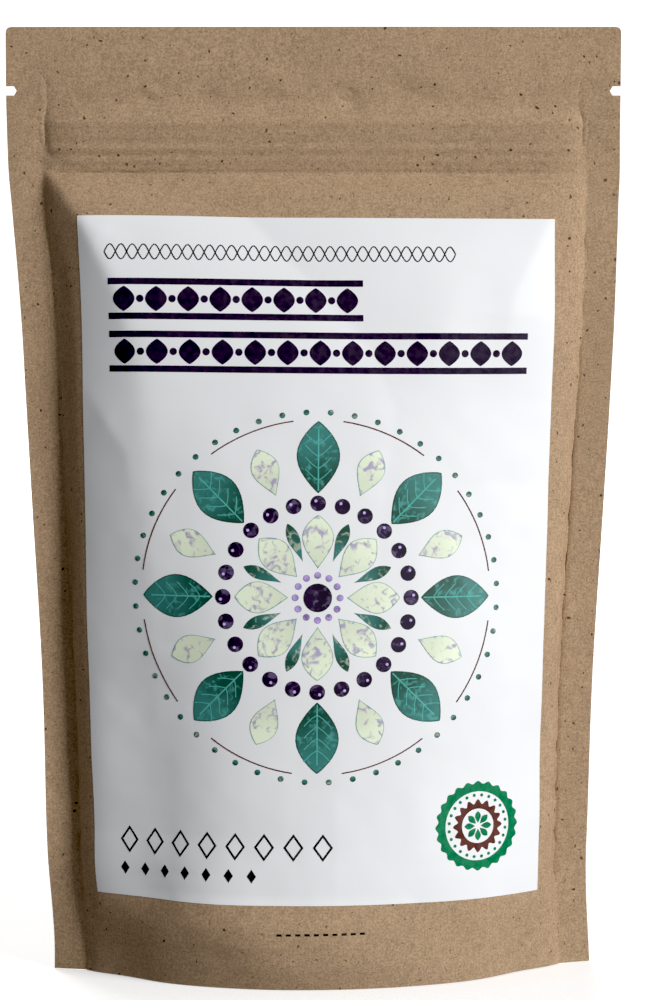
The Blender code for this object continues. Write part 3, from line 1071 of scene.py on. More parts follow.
def petal_outline(start, end, width, fullness=1.0, count=20):
    """A drop along +X: pointed at both ends, with its widest place further out if fuller."""
    part = (1 - np.cos(np.linspace(0, math.pi, count))) / 2
    half = width / 2 * np.sin(math.pi * part**fullness) ** 0.85
    along = start + (end - start) * part
    lower = np.stack([along, -half], axis=-1)
    upper = np.stack([along, half], axis=-1)[::-1]
    return np.concatenate([lower[:-1], upper[:-1]])


def rotated(outline, degrees):
    turn = math.radians(degrees)
    x, y = np.asarray(outline).T
    cosine, sine = math.cos(turn), math.sin(turn)
    return np.stack([x * cosine - y * sine, x * sine + y * cosine], axis=-1)


def stepped(corners, steps):
    """An outline through corners, with points along its sides."""
    ends = np.roll(corners, -1, axis=0)
    pairs = list(zip(corners, ends))
    return np.array([a + (b - a) * step / steps for a, b in pairs for step in range(steps)])


def lozenge_outline(width, height):
    corners = np.array([(width / 2, 0), (0, height / 2), (-width / 2, 0), (0, -height / 2)])
    return stepped(corners, 4)


def bar_outline(width, height, steps):
    corners = np.array([(width, height), (-width, height), (-width, -height), (width, -height)])
    return stepped(corners / 2, steps)


def ribbon_mesh(name, line, width):
    """A flat line of one width."""
    line = np.asarray(line, float)
    direction = unit(np.gradient(line, axis=0))
    across = np.stack([-direction[:, 1], direction[:, 0]], axis=-1) * width / 2
    places = np.concatenate([line + across, line - across])
    count = len(line)
    faces = [(index + count, index + count + 1, index + 1, index) for index in range(count - 1)]
    return flat_mesh(name, places, faces, np.ones(len(places)))


# Geometry Nodes that repeat a flat shape


def repeat_tree(name, sockets):
    """An empty geometry tree with named inputs, as (name, socket type, default)."""
    tree = bpy.data.node_groups.new(name, "GeometryNodeTree")
    tree.interface.new_socket("Shape", in_out="INPUT", socket_type="NodeSocketGeometry")
    for key, kind, default in sockets:
        socket = tree.interface.new_socket(key, in_out="INPUT", socket_type=kind)
        if default is not None:
            socket.default_value = default
    tree.interface.new_socket("Shape", in_out="OUTPUT", socket_type="NodeSocketGeometry")
    graph = Graph(tree)
    start = tree.nodes.new("NodeGroupInput")
    inputs = {socket.name: Signal(graph, socket) for socket in start.outputs if socket.name}
    return tree, graph, inputs


def close_tree(tree, graph, geometry, material):
    """Ends a tree in Realize Instances and Set Material."""
    real = graph.node("GeometryNodeRealizeInstances", {"Geometry": geometry})
    painted = graph.node("GeometryNodeSetMaterial", {"Geometry": real, "Material": material})
    end = tree.nodes.new("NodeGroupOutput")
    graph.feed(end.inputs[0], painted)


def ring_tree():
    """Copies of a shape round a circle, each turned outwards."""
    sockets = (
        ("Count", "NodeSocketInt", 8),
        ("Radius", "NodeSocketFloat", 0.0),
        ("Phase", "NodeSocketFloat", 0.0),
        ("Material", "NodeSocketMaterial", None),
    )
    tree, graph, inputs = repeat_tree("Ring of shapes", sockets)
    points = graph.node("GeometryNodePoints", {"Count": inputs["Count"]})
    index = graph.node("GeometryNodeInputIndex")
    turn = graph.maths("DIVIDE", (index + inputs["Phase"]) * (2 * math.pi), inputs["Count"])
    x = graph.node("ShaderNodeMath", {0: turn}, operation="COSINE") * inputs["Radius"]
    y = graph.node("ShaderNodeMath", {0: turn}, operation="SINE") * inputs["Radius"]
    place = graph.node("ShaderNodeCombineXYZ", {0: x, 1: y})
    points = graph.node("GeometryNodeSetPosition", {"Geometry": points, "Position": place})
    angle = graph.node("ShaderNodeCombineXYZ", {2: turn})
    turned = graph.node("FunctionNodeEulerToRotation", {0: angle})
    copied = {"Points": points, "Instance": inputs["Shape"], "Rotation": turned}
    copies = graph.node("GeometryNodeInstanceOnPoints", copied)
    close_tree(tree, graph, copies, inputs["Material"])
    return tree


def row_tree():
    """Copies of a shape along X at one pitch."""
    sockets = (
        ("Count", "NodeSocketInt", 8),
        ("Pitch", "NodeSocketFloat", 0.01),
        ("Material", "NodeSocketMaterial", None),
    )
    tree, graph, inputs = repeat_tree("Row of shapes", sockets)
    step = graph.node("ShaderNodeCombineXYZ", {0: inputs["Pitch"]})
    stations = {"Count": inputs["Count"], "Offset": step}
    line = graph.node("GeometryNodeMeshLine", stations, mode="OFFSET")
    points = graph.node("GeometryNodeMeshToPoints", {"Mesh": line})
    copied = {"Points": points, "Instance": inputs["Shape"]}
    copies = graph.node("GeometryNodeInstanceOnPoints", copied)
    close_tree(tree, graph, copies, inputs["Material"])
    return tree


HEAP_DENSITY = 90000.0
HEAP_SEED = 4


def heap_tree():
    """Dried berries scattered over a surface, with the surface itself as the core."""
    sockets = (
        ("Spacing", "NodeSocketFloat", 0.005),
        ("Berry size", "NodeSocketFloat", 0.005),
        ("Seed", "NodeSocketInt", HEAP_SEED),
        ("Material", "NodeSocketMaterial", None),
    )
    tree, graph, inputs = repeat_tree("Heap of berries", sockets)
    scattering = {
        "Mesh": inputs["Shape"],
        "Distance Min": inputs["Spacing"],
        "Density Max": HEAP_DENSITY,
        "Seed": inputs["Seed"],
    }
    kind = "GeometryNodeDistributePointsOnFaces"
    scattered = graph.node(kind, scattering, distribute_method="POISSON")
    ball = graph.node("GeometryNodeMeshUVSphere", {"Segments": 7, "Rings": 5, "Radius": 0.5})
    position = graph.node("GeometryNodeInputPosition")
    uneven = {"Vector": position, "Scale": 2.6, "Detail": 2.0}
    dents = {0: position, "Scale": 0.62 + 0.7 * graph.node("ShaderNodeTexNoise", uneven)}
    dented = {0: graph.node("ShaderNodeVectorMath", dents, operation="SCALE"), 1: (1.0, 0.86, 0.8)}
    flattened = graph.node("ShaderNodeVectorMath", dented, operation="MULTIPLY")
    berry = graph.node("GeometryNodeSetPosition", {"Geometry": ball, "Position": flattened})
    whirl = {0: (0, 0, 0), 1: (2 * math.pi,) * 3, "Seed": inputs["Seed"]}
    whirl = graph.node("FunctionNodeRandomValue", whirl, data_type="FLOAT_VECTOR")
    growth = {2: 0.82, 3: 1.12, "Seed": inputs["Seed"] + 5}
    growth = graph.node("FunctionNodeRandomValue", growth, 1)
    copied = {
        "Points": scattered,
        "Instance": berry,
        "Rotation": graph.node("FunctionNodeEulerToRotation", {0: whirl}),
        "Scale": growth * inputs["Berry size"],
    }
    copies = graph.node("GeometryNodeInstanceOnPoints", copied)
    heap = graph.node("GeometryNodeJoinGeometry", {0: inputs["Shape"]})
    graph.feed(heap.socket.node.inputs[0], copies)
    close_tree(tree, graph, heap, inputs["Material"])
    return tree


TREES = {}


def grown(mesh, build, **values):
    """The mesh that a repeating tree makes of a mesh, as plain data."""
    if build not in TREES:
        TREES[build] = build()
    tree = TREES[build]
    holder = linked("holder", mesh)
    modifier = holder.modifiers.new("Repeat", "NODES")
    modifier.node_group = tree
    for socket in tree.interface.items_tree:
        if socket.in_out == "INPUT" and socket.name in values:
            modifier[socket.identifier] = values[socket.name]
    bpy.context.view_layer.update()
    evaluated = holder.evaluated_get(bpy.context.evaluated_depsgraph_get())
    made = bpy.data.meshes.new_from_object(evaluated)
    bpy.data.objects.remove(holder, do_unlink=True)
    return made


def ring_of(shape, material, count, radius, phase):
    """Copies of a flat shape round a circle, a phase being a part of a step."""
    values = {"Count": count, "Radius": radius, "Phase": phase, "Material": material}
    return grown(shape, ring_tree, **values)


def row_of(shape, material, count, pitch):
    """Copies of a flat shape along X."""
    return grown(shape, row_tree, Count=count, Pitch=pitch, Material=material)


def joined(*parts):
    """One flat mesh of several, each given as a mesh or as (mesh, x, y)."""
    shape = bmesh.new()
    for part in parts:
        mesh, x, y = part if isinstance(part, tuple) else (part, 0.0, 0.0)
        copy = mesh.copy()
        copy.transform(Matrix.Translation((x, y, 0)))
        shape.from_mesh(copy)
        bpy.data.meshes.remove(copy)
    return mesh_of("flat_art", shape)


def bisected(shape, axis, station, reach=0.0):
    """Cuts every face of a shape where it crosses a plane square to X or Y."""
    point = [0.0, 0.0, 0.0]
    point[axis] = station
    normal = [0.0, 0.0, 0.0]
    normal[axis] = 1.0
    parts = shape.verts[:] + shape.edges[:] + shape.faces[:]
    bmesh.ops.bisect_plane(shape, geom=parts, plane_co=point, plane_no=normal, dist=reach)


PRINT_CELL = 1.6 * MM
CUT_REACH = 2e-6


def pressed(name, art, lay, lift, film):
    """Closed thin mesh of flat art laid on the pouch, cut finely enough to follow it."""
    shape = bmesh.new()
    shape.from_mesh(art)
    bmesh.ops.remove_doubles(shape, verts=shape.verts, dist=1e-6)
    places = np.array([vertex.co for vertex in shape.verts])
    for axis in (0, 1):
        first = math.ceil(places[:, axis].min() / PRINT_CELL)
        last = math.floor(places[:, axis].max() / PRINT_CELL)
        for step in range(first, last + 1):
            bisected(shape, axis, step * PRINT_CELL, CUT_REACH)
    shape.normal_update()
    for face in shape.faces:
        if face.normal.z < 0:
            face.normal_flip()
    shape.verts.index_update()
    flat = np.array([vertex.co for vertex in shape.verts])
    over = lay(flat[:, 0], flat[:, 1], lift + film)
    under = lay(flat[:, 0], flat[:, 1], lift)
    count = len(flat)
    faces = [[vertex.index for vertex in face.verts] for face in shape.faces]
    faces += [[index + count for index in reversed(face)] for face in faces]
    for edge in shape.edges:
        if edge.is_boundary:
            loop = edge.link_loops[0]
            start = loop.vert.index
            end = loop.link_loop_next.vert.index
            faces.append([end, start, start + count, end + count])
    values = {}
    for key in ("pool", "tone"):
        layer = shape.verts.layers.float.get(key)
        if layer is not None:
            once = [vertex[layer] for vertex in shape.verts]
            values[key] = np.array(once + once, np.float32)
    shape.free()
    mesh = bpy.data.meshes.new(name)
    mesh.from_pydata(np.concatenate([over, under]).tolist(), [], faces)
    for key, data in values.items():
        mesh.attributes.new(key, "FLOAT", "POINT").data.foreach_set("value", data)
    return smoothed(mesh)


# Laying flat art on the pouch


def label_lay(scene):
    """Places of label art: X from the label's left edge, Y up from its bottom edge."""
    label = scene.pouch_label
    wall = wall_of(FRONT, scene.pouch_sizes)
    middle = (label.bottom + label.top) / 2
    stretch = (label.top - label.bottom) / label.height

    def lay(x, y, lift):
        p = x - label.width / 2
        q = y - label.height / 2
        run = label.shift + p * math.cos(label.turn) + q * math.sin(label.turn)
        height = middle + (q * math.cos(label.turn) - p * math.sin(label.turn)) * stretch
        return wall.at(run, height, lift)

    return lay


def kraft_lay(scene):
    """Places of art printed on the front wall itself: X from the middle line, Y up."""
    return wall_of(FRONT, scene.pouch_sizes).at


LABEL_COLUMNS = 131
LABEL_ROWS = 185
LABEL_UNDER = 0.03 * MM
INK_STEP = 0.04 * MM
FIRST_INK_STEP = 0.7


def label_print(scene, name, material, level, *parts):
    """A printed piece of flat art on the label; a higher level lies over a lower one."""
    label = scene.pouch_label
    lift = LABEL_UNDER + label.thickness + INK_STEP * (level + FIRST_INK_STEP)
    mesh = pressed(name, joined(*parts), label_lay(scene), lift, scene.pouch_inks.film)
    finish_piece(name, mesh, material, "label")


# Ornaments, in places measured from the label's bottom left corner

MEDALLION_CENTRE = (71 * MM, 91 * MM)
ROSETTE_CENTRE = (120 * MM, 22 * MM)


def build_medallion(scene):
    inks = scene.pouch_inks
    centre = MEDALLION_CENTRE
    leaf = wash_ink("leaf_wash", inks.green, inks.teal, scaled(inks.teal, 1.7), scaled(inks.green, 0.5))
    petal = wash_ink("petal_wash", inks.pale, scaled(inks.pale, 1.18), inks.lilac, scaled(inks.teal, 1.4))
    teal = wash_ink("teal_wash", inks.teal, inks.green, scaled(inks.pale, 0.7), scaled(inks.green, 0.8))
    deep, deeper, deepest = (scaled(inks.dark, factor) for factor in (1.2, 0.6, 0.4))
    berry = wash_ink("berry_wash", deep, deeper, scaled(inks.lilac, 0.5), deepest)
    bright, dull = scaled(inks.lilac, 1.5), scaled(inks.lilac, 0.6)
    lilac = wash_ink("lilac_wash", inks.lilac, bright, scaled(inks.dark, 3), dull)
    fine = plain_ink("fine_brown_ink", inks.brown)
    light = plain_ink("bead_light_ink", scaled(inks.lilac, 1.9), 0.1)
    pale_line = plain_ink("vein_ink", scaled(inks.teal, 2.2), 0.1)

    core = disc_shape("core", circle_outline(4.2 * MM, 32))
    dot = disc_shape("dot", circle_outline(1.0 * MM, 14), (1.0, 0.6))
    inner = petal_shape("inner_petal", 8.6 * MM, 24.4 * MM, 9.4 * MM, 1.25)
    drop = petal_shape("drop", 11.5 * MM, 23.5 * MM, 3.6 * MM, 1.5)
    bead = disc_shape("bead", circle_outline(2.3 * MM, 20))
    off = 0.7 * MM
    glint = disc_shape("glint", circle_outline(0.45 * MM, 10, off, off), (1.0, 0.5), (off, off))
    lobe = petal_shape("lobe", 30.8 * MM, 52 * MM, 12.8 * MM, 1.05)
    outer = petal_shape("outer_petal", 32.4 * MM, 47 * MM, 8.2 * MM, 1.3)
    speck = disc_shape("speck", circle_outline(0.85 * MM, 12), (1.0, 0.6))
    turns = np.linspace(0.36, 1.64, 12) * math.pi / 8
    line = [(52.4 * MM * math.cos(turn), 52.4 * MM * math.sin(turn)) for turn in turns]
    arc = ribbon_mesh("arc", line, 0.35 * MM)

    label_print(scene, "print_core", berry, 1, (core, *centre))
    rings = (
        # piece, shape, ink, level, count, radius, phase
        ("print_lilac_dots", dot, lilac, 1, 12, 6.6 * MM, 0.0),
        ("print_inner_petals", inner, petal, 0, 8, 0.0, 0.0),
        ("print_teal_drops", drop, teal, 1, 8, 0.0, 0.5),
        ("print_beads", bead, berry, 1, 24, 27.8 * MM, 0.0),
        ("print_bead_lights", glint, light, 2, 24, 27.8 * MM, 0.0),
        ("print_leaves", lobe, leaf, 0, 8, 0.0, 0.0),
        ("print_leaf_veins", leaf_veins(), pale_line, 1, 8, 0.0, 0.0),
        ("print_outer_petals", outer, petal, 1, 8, 0.0, 0.5),
        ("print_rim_dots", speck, teal, 1, 48, 54.6 * MM, 0.5),
        ("print_rim_arcs", arc, fine, 1, 8, 0.0, 0.0),
    )
    for piece, shape, ink, level, *spread in rings:
        label_print(scene, piece, ink, level, (ring_of(shape, ink, *spread), *centre))


def leaf_veins():
    """A rib along +X with four pairs of curved side ribs, as flat art."""
    rib = ribbon_mesh("rib", [(31.5 * MM + step * 1.2 * MM, 0.0) for step in range(16)], 0.4 * MM)
    side_ribs = []
    for side in (-1, 1):
        for start in (34.5, 38, 41.5, 45):
            parts = (0, 0.33, 0.66, 1)
            line = [((start + 3.4 * part) * MM, side * 3.9 * part**0.8 * MM) for part in parts]
            side_ribs.append(ribbon_mesh("side_rib", line, 0.26 * MM))
    return joined(rib, *side_ribs)


def petal_shape(name, start, end, width, fullness):
    outline = petal_outline(start, end, width, fullness)
    middle = ((start + end) / 2 + (end - start) * 0.08, 0.0)
    return disc_shape(name, outline, (1.0, 0.88, 0.6, 0.3), middle)


def build_friezes(scene):
    inks = scene.pouch_inks
    dark = plain_ink("deep_aubergine_ink", inks.dark)
    black = plain_ink("soft_black_ink", inks.black)
    upright = rotated(petal_outline(-3.7 * MM, 3.7 * MM, 6.4 * MM), 90)
    leaf = disc_shape("leaf", upright, (1.0, 0.5))
    dot = disc_shape("dot", circle_outline(1.1 * MM, 14), (1.0, 0.6))
    start = 9 * MM
    for name, count, pitch, y in (("upper", 8, 9.4 * MM, 178.5 * MM), ("lower", 13, 9.6 * MM, 163 * MM)):
        rail = disc_shape("rail", bar_outline(count * pitch, 1.9 * MM, 40), (1.0, 0.5))
        rails = [(rail, start + count * pitch / 2, y + side * 5.1 * MM) for side in (-1, 1)]
        leaves = (row_of(leaf, dark, count, pitch), start + pitch / 2, y)
        dots = (row_of(dot, dark, count - 1, pitch), start + pitch, y)
        label_print(scene, f"print_{name}_frieze", dark, 0, *rails, leaves, dots)
    along = np.arange(0, 104.1, 0.5)
    for level, piece in enumerate(("print_wave_band", "print_counter_wave")):
        swings = 2.2 * MM * np.sin(along / 6.5 * 2 * math.pi + level * math.pi)
        wave = ribbon_mesh("wave", np.stack([along * MM, swings], axis=-1), 0.34 * MM)
        label_print(scene, piece, black, level, (wave, 8 * MM, 192.3 * MM))
    outlines = (lozenge_outline(6 * MM, 8.2 * MM), lozenge_outline(4.4 * MM, 6.1 * MM))
    open_lozenge = ring_shape("open", *outlines)
    small = disc_shape("small", lozenge_outline(2.8 * MM, 4 * MM), (1.0, 0.5))
    chain = (row_of(open_lozenge, black, 8, 8.7 * MM), 12 * MM, 17 * MM)
    beads = (row_of(small, black, 7, 6.9 * MM), 10.4 * MM, 8.4 * MM)
    label_print(scene, "print_lozenge_rows", black, 0, chain, beads)
    dash = disc_shape("dash", bar_outline(1.5 * MM, 0.7 * MM, 1), (1.0, 0.5))
    art = joined((row_of(dash, black, 10, 2.7 * MM), -12.1 * MM, 17.3 * MM))
    mesh = pressed("print_kraft_dashes", art, kraft_lay(scene), 0.01 * MM, inks.film)
    finish_piece("print_kraft_dashes", mesh, black, "kraft")


def build_rosette(scene):
    inks = scene.pouch_inks
    green = plain_ink("rosette_green_ink", inks.seal)
    brown = plain_ink("rosette_brown_ink", inks.brown)
    points = 144
    turns = np.arange(points) * 2 * math.pi / points
    scalloped = (13.1 + 0.45 * np.cos(24 * turns)) * MM
    outer = circle_outline(scalloped, points)
    band = ring_shape("band", outer, circle_outline(10.4 * MM, points))
    bead_ring = 9.3 * MM
    bead = disc_shape("bead", circle_outline(0.5 * MM, 10, bead_ring), (1.0, 0.5), (bead_ring, 0))
    beads = ring_of(bead, green, 24, 0.0, 0.5)
    toothed = (7.3 + 0.7 * np.cos(16 * turns)) * MM
    hub = ring_shape("hub", circle_outline(toothed, points), circle_outline(5.2 * MM, points))
    drop = petal_outline(0.9 * MM, 4.4 * MM, 1.9 * MM, 1.3, 12)
    petals = ring_of(disc_shape("petal", drop, (1.0, 0.5), (2.8 * MM, 0)), green, 8, 0.0, 0.0)
    for piece, ink, shapes in (
        ("print_rosette_band", green, (band, beads)),
        ("print_rosette_star", brown, (hub,)),
        ("print_rosette_flower", green, (petals,)),
    ):
        label_print(scene, piece, ink, 0, *((shape, *ROSETTE_CENTRE) for shape in shapes))


# Web, contents and zip

WEB_LOW = 6 * MM
WEB_SAG = 4 * MM
WEB_FOLD_HEIGHT = 48 * MM
WEB_REACH = 0.965
SKIRT_BOTTOM = 0.7 * MM
WEB_CLEARANCE = 0.35 * MM
WEB_FILM = 0.3 * MM
WEB_COLUMNS = 81
WEB_ROWS = 33
SKIRT_ROWS = 9


def web_height(part, across):
    """Height of the web at shares of the way to a seal and to a wall."""
    rise = WEB_LOW + (WEB_FOLD_HEIGHT - WEB_LOW) * np.abs(part) ** 4
    return rise - WEB_SAG * (1 - part * part) * (1 - across * across)


def web_grids(sizes):
    """Lower and upper faces of the web, with its skirts down both walls."""
    half_free = sizes.bag_width / 2 - sizes.side_seal
    part = WEB_REACH * np.sin(np.linspace(-math.pi / 2, math.pi / 2, WEB_COLUMNS))
    run = part * half_free
    edge = web_height(part, 1.0)
    climbs = np.linspace(0, 1, SKIRT_ROWS)[:-1]
    grids = []
    for inset in (0.0, WEB_FILM):
        clearance = sizes.film + WEB_CLEARANCE + inset

        def skirt(side):
            heights = [SKIRT_BOTTOM + climb * (edge - inset - SKIRT_BOTTOM) for climb in climbs]
            return [wall_of(side, sizes).at(run, height, -clearance) for height in heights]

        front, back = (wall_of(side, sizes).at(run, edge, -clearance) for side in (FRONT, BACK))
        rows = skirt(FRONT)
        for across in np.sin(np.linspace(-math.pi / 2, math.pi / 2, WEB_ROWS)):
            row = front + (back - front) * (across + 1) / 2
            row[:, 2] = web_height(part, across) - inset
            rows.append(row)
        grids.append(np.array(rows + skirt(BACK)[::-1]))
    return grids


def heap_core(node, inset, sizes):
    """A closed copy of the fill's solid, drawn in on all sides and twisted with the walls."""
    shape = welded(node)
    shape.normal_update()
    half_width = sizes.bag_width / 2
    drawn = [vertex.co - vertex.normal * inset for vertex in shape.verts]
    for vertex, place in zip(shape.verts, drawn):
        turned = float(smooth_step(place.z, TWIST_TOP, TWIST_FULL))
        vertex.co = (place.x, place.y + sizes.twist * place.x / half_width * turned, place.z)
    return mesh_of("heap_core", shape)


def berry_paint(berries):
    """Dull wrinkled skins, mostly near black, some red-brown."""
    paint = Paint("dried_skins", 0.6)
    kind = paint.noise(paint.objects, 160.0, 1.0)
    wrinkles = paint.noise(paint.objects, 1300.0, 3.0, 1.0)
    skin = paint.mixed(kind.ramp(0.58, 0.66), berries.skin, berries.ripe)
    paint.shaded("Base Color", paint.mixed(wrinkles.ramp(0.35, 0.75), skin, scaled(berries.skin, 3.0)))
    paint.shaded("Roughness", 0.5 + 0.25 * wrinkles)
    paint.bumped(wrinkles, 0.5, 0.0003)
    return paint.material


def zip_strip(name, node, pouch):
    """A zip strip thinned and bent to lie midway between the two walls."""
    shape = welded(node)
    for station in np.linspace(-66, 66, 12) * MM:
        bisected(shape, 0, station)
    places = np.array([vertex.co for vertex in shape.verts])
    walls = [wall_of(side, pouch).at(places[:, 0], places[:, 2]) for side in (FRONT, BACK)]
    middle = (walls[0] + walls[1]) / 2
    for vertex, between in zip(shape.verts, middle):
        vertex.co.x = between[0]
        vertex.co.y = vertex.co.y * ZIP_THINNING + between[1]
    return mesh_of(name, shape)


def zip_paint():
    """Milky plastic with the faint drawn lines of an extruded strip."""
    paint = Paint("zip_plastic", 0.32, IOR=1.5)
    drawn = paint.noise(paint.placed(paint.objects, (20, 900, 2500)), 1.0, 2.0)
    paint.shaded("Base Color", paint.mixed(drawn, (0.72, 0.73, 0.7), (0.84, 0.84, 0.82)))
    paint.shaded("Roughness", 0.26 + 0.14 * drawn)
    paint.bumped(drawn, 0.15, 0.00005)
    return paint.material


# Operators


class POUCH_OT_walls(bpy.types.Operator):
    """Build the front and back walls of the pouch"""

    bl_idname = "pouch.walls"
    bl_label = "Walls"

    def execute(self, context):
        sizes = context.scene.pouch_sizes
        kraft = kraft_paint("kraft_paper", context.scene.pouch_kraft)
        for name, side, node in (("front_wall", FRONT, "front_panel"), ("back_wall", BACK, "back_panel")):
            made = finish_piece(name, wall_mesh(name, side, sizes), kraft, "kraft", node)
        return {"FINISHED"}


class POUCH_OT_label(bpy.types.Operator):
    """Build the blank label on the front wall"""

    bl_idname = "pouch.label"
    bl_label = "Label"

    def execute(self, context):
        scene = context.scene
        label = scene.pouch_label
        lay = label_lay(scene)
        columns = np.linspace(0, label.width, LABEL_COLUMNS)
        x, y = np.meshgrid(columns, np.linspace(0, label.height, LABEL_ROWS))
        over = lay(x, y, LABEL_UNDER + label.thickness)
        under = lay(x, y, LABEL_UNDER)
        mesh = closed_sheet("paper_label", over, under, flat=np.stack([x, y], axis=-1))
        made = finish_piece("paper_label", mesh, label_paint(label), "label", "front_label")
        return {"FINISHED"}


class POUCH_OT_web(bpy.types.Operator):
    """Build the folded web that the pouch stands on"""

    bl_idname = "pouch.web"
    bl_label = "Bottom web"

    def execute(self, context):
        scene = context.scene
        sizes = scene.pouch_sizes
        over, under = web_grids(sizes)
        mesh = closed_sheet("bottom_gusset", over, under)
        # The web gets the same kraft a tenth darker: painted shade for the web under the pouch.
        lining = kraft_paint("gusset_paper", scene.pouch_kraft, 0.9)
        made = finish_piece("bottom_gusset", mesh, lining, "lining", "bottom_web")
        return {"FINISHED"}


class POUCH_OT_contents(bpy.types.Operator):
    """Build the heap of dried berries"""

    bl_idname = "pouch.contents"
    bl_label = "Contents"

    def execute(self, context):
        scene = context.scene
        berries = scene.pouch_berries
        skin = berry_paint(berries)
        core = heap_core(frame["nodes"]["berry_fill"], berries.inset, scene.pouch_sizes)
        values = {"Spacing": berries.spacing, "Berry size": berries.size, "Seed": HEAP_SEED}
        values["Material"] = skin
        mesh = grown(core, heap_tree, **values)
        mesh.shade_smooth()
        finish_piece("dried_berries", mesh, skin, "berries", "berry_fill")
        return {"FINISHED"}


class POUCH_OT_zip(bpy.types.Operator):
    """Build the two milky strips of the zip"""

    bl_idname = "pouch.zip"
    bl_label = "Zip"

    def execute(self, context):
        plastic = zip_paint()
        for name, node in (("zip_ribs", "zip_rib_strip"), ("zip_grooves", "zip_groove_strip")):
            mesh = zip_strip(name, frame["nodes"][node], context.scene.pouch_sizes)
            finish_piece(name, mesh, plastic, "zip", node)
        return {"FINISHED"}


class POUCH_OT_medallion(bpy.types.Operator):
    """Print the round ornament of petals, leaves and beads on the label"""

    bl_idname = "pouch.medallion"
    bl_label = "Medallion"

    def execute(self, context):
        build_medallion(context.scene)
        return {"FINISHED"}


class POUCH_OT_friezes(bpy.types.Operator):
    """Print the friezes, waves and lozenge rows on the label, and the dashes below it"""

    bl_idname = "pouch.friezes"
    bl_label = "Friezes"

    def execute(self, context):
        build_friezes(context.scene)
        return {"FINISHED"}


class POUCH_OT_seal(bpy.types.Operator):
    """Print the round rosette in the label's corner"""

    bl_idname = "pouch.seal"
    bl_label = "Rosette"

    def execute(self, context):
        build_rosette(context.scene)
        return {"FINISHED"}


class POUCH_OT_studio(bpy.types.Operator):
    """Set the floor, the lights and the camera"""

    bl_idname = "pouch.studio"
    bl_label = "Studio"

    def execute(self, context):
        scene = context.scene
        setup = scene.pouch_studio
        scene.view_settings.view_transform = "Standard"
        deepen_shade(scene, setup.black_point)
        build_floor()
        build_world(scene, setup.fill)
        for lamp in LAMPS:
            build_lamp(setup.key, *lamp)
        build_camera(scene, setup)
        return {"FINISHED"}


def deepen_shade(scene, black_point):
    """Sets the darkest light that the picture shows as black, as a studio picture does."""
    scene.view_settings.use_curve_mapping = True
    curves = scene.view_settings.curve_mapping
    curves.black_level = (black_point,) * 3
    curves.white_level = (1.0, 1.0, 1.0)
    curves.update()


SWEEP_INNER = 0.25
SWEEP_FLAT = 2.3
SWEEP_BEND = 0.9
SWEEP_BEND_STEPS = 12
SWEEP_TOP = 3.4
SWEEP_SPOKES = 72
SWEEP_DROP = 0.2 * MM


def build_floor():
    """A round pale sweep, curved up into a wall on all sides, that sends no light to the pouch."""
    bend = np.linspace(0, math.pi / 2, SWEEP_BEND_STEPS)[1:]
    profile = [(SWEEP_INNER, 0.0), (SWEEP_FLAT, 0.0)]
    profile += [
        (SWEEP_FLAT + SWEEP_BEND * math.sin(turn), SWEEP_BEND * (1 - math.cos(turn))) for turn in bend
    ]
    profile.append((SWEEP_FLAT + SWEEP_BEND, SWEEP_TOP))
    verts = [(0.0, 0.0, -SWEEP_DROP)]
    for reach, z in profile:
        ring = circle_outline(reach, SWEEP_SPOKES).tolist()
        verts += [(x, y, z - SWEEP_DROP) for x, y in ring]
    steps = [(index, (index + 1) % SWEEP_SPOKES) for index in range(SWEEP_SPOKES)]
    faces = [(0, 1 + first, 1 + second) for first, second in steps]
    for level in range(len(profile) - 1):
        low = 1 + level * SWEEP_SPOKES
        high = low + SWEEP_SPOKES
        faces += [(low + first, high + first, high + second, low + second) for first, second in steps]
    mesh = bpy.data.meshes.new("sweep")
    mesh.from_pydata(verts, [], faces)
    mesh.shade_smooth()
    floor = linked("sweep", mesh)
    floor.visible_diffuse = False
    floor.visible_glossy = False
    paint = Paint("studio_white", 0.9, Emission_Strength=1.0)
    soft = paint.noise(paint.objects, 3.0, 1.0)
    paint.shaded("Base Color", paint.mixed(soft, (0.72,) * 3, (0.75,) * 3))
    away = paint.node("ShaderNodeVectorMath", {0: paint.objects}, "Value", operation="LENGTH")
    glow = paint.mixed(away.ramp(0.3, 1.8), (0.45,) * 3, (0.94,) * 3)
    paint.shaded("Emission Color", glow)
    mesh.materials.append(paint.material)


def build_world(scene, strength):
    world = bpy.data.worlds.new("studio_light")
    world.use_nodes = True
    background = world.node_tree.nodes["Background"]
    background.inputs["Color"].default_value = (1.0, 1.0, 1.0, 1.0)
    background.inputs["Strength"].default_value = strength
    scene.world = world


def aimed(obj, place, target):
    """Puts an object at a place, looking at a target."""
    obj.location = place
    direction = Vector(target) - Vector(place)
    obj.rotation_euler = direction.to_track_quat("-Z", "Y").to_euler()


def around(distance, azimuth, elevation, centre):
    """Point at a distance from a centre, seen from the front turned to the right."""
    level = distance * math.cos(elevation)
    x = centre[0] + level * math.sin(azimuth)
    y = centre[1] - level * math.cos(azimuth)
    return (x, y, centre[2] + distance * math.sin(elevation))


LAMPS = (
    # name, share of the key light's power, size, distance, azimuth and elevation in degrees
    ("key_light", 1.0, 1.4, 2.9, 51, 20),
    ("back_light", 0.45, 1.6, 2.2, 198, 35),
)
LAMP_TARGET = (0, 0, 0.14)
CAMERA_TARGET = (0.0021, 0, 0.1438)


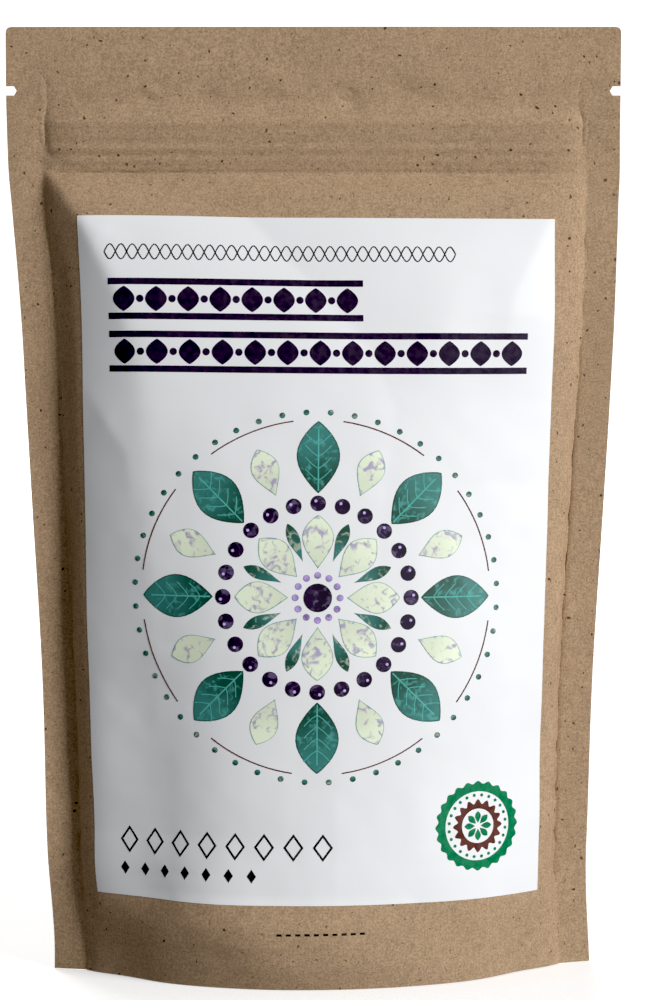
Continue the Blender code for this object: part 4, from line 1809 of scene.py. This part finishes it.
def build_lamp(power, name, part, size, distance, azimuth, elevation):
    """A square soft light aimed at the middle of the pouch."""
    light = bpy.data.lights.new(name, "AREA")
    light.shape = "SQUARE"
    light.size = size
    light.energy = part * power
    lamp = linked(name, light)
    lamp.visible_camera = False
    place = around(distance, math.radians(azimuth), math.radians(elevation), LAMP_TARGET)
    aimed(lamp, place, LAMP_TARGET)


def build_camera(scene, setup):
    data = bpy.data.cameras.new("camera")
    data.lens = setup.lens
    data.sensor_width = 36
    data.clip_start = 0.05
    camera = linked("camera", data)
    place = around(setup.distance, setup.azimuth, setup.elevation, CAMERA_TARGET)
    aimed(camera, place, CAMERA_TARGET)
    camera.rotation_euler.rotate_axis("Z", setup.roll)
    scene.camera = camera


class POUCH_PT_panel(bpy.types.Panel):
    """Lists the steps that build the pouch"""

    bl_label = "Kraft Pouch"
    bl_idname = "POUCH_PT_panel"
    bl_space_type = "VIEW_3D"
    bl_region_type = "UI"
    bl_category = "Pouch"

    def draw(self, context):
        for operator in OPERATORS:
            self.layout.operator(operator.bl_idname)


GROUPS = {
    "pouch_sizes": PouchSizes,
    "pouch_kraft": KraftFinish,
    "pouch_label": LabelSizes,
    "pouch_inks": PrintInks,
    "pouch_berries": BerrySizes,
    "pouch_studio": StudioSetup,
}
OPERATORS = (
    POUCH_OT_walls,
    POUCH_OT_web,
    POUCH_OT_zip,
    POUCH_OT_contents,
    POUCH_OT_label,
    POUCH_OT_friezes,
    POUCH_OT_medallion,
    POUCH_OT_seal,
    POUCH_OT_studio,
)
CLASSES = (*GROUPS.values(), *OPERATORS, POUCH_PT_panel)


def register():
    for cls in CLASSES:
        bpy.utils.register_class(cls)
    for name, group in GROUPS.items():
        setattr(bpy.types.Scene, name, PointerProperty(type=group))


def unregister():
    for name in GROUPS:
        delattr(bpy.types.Scene, name)
    for cls in reversed(CLASSES):
        bpy.utils.unregister_class(cls)


def main():
    register()
    for operator in OPERATORS:
        group, name = operator.bl_idname.split(".")
        getattr(getattr(bpy.ops, group), name)()


if __name__ == "__main__":
    main()
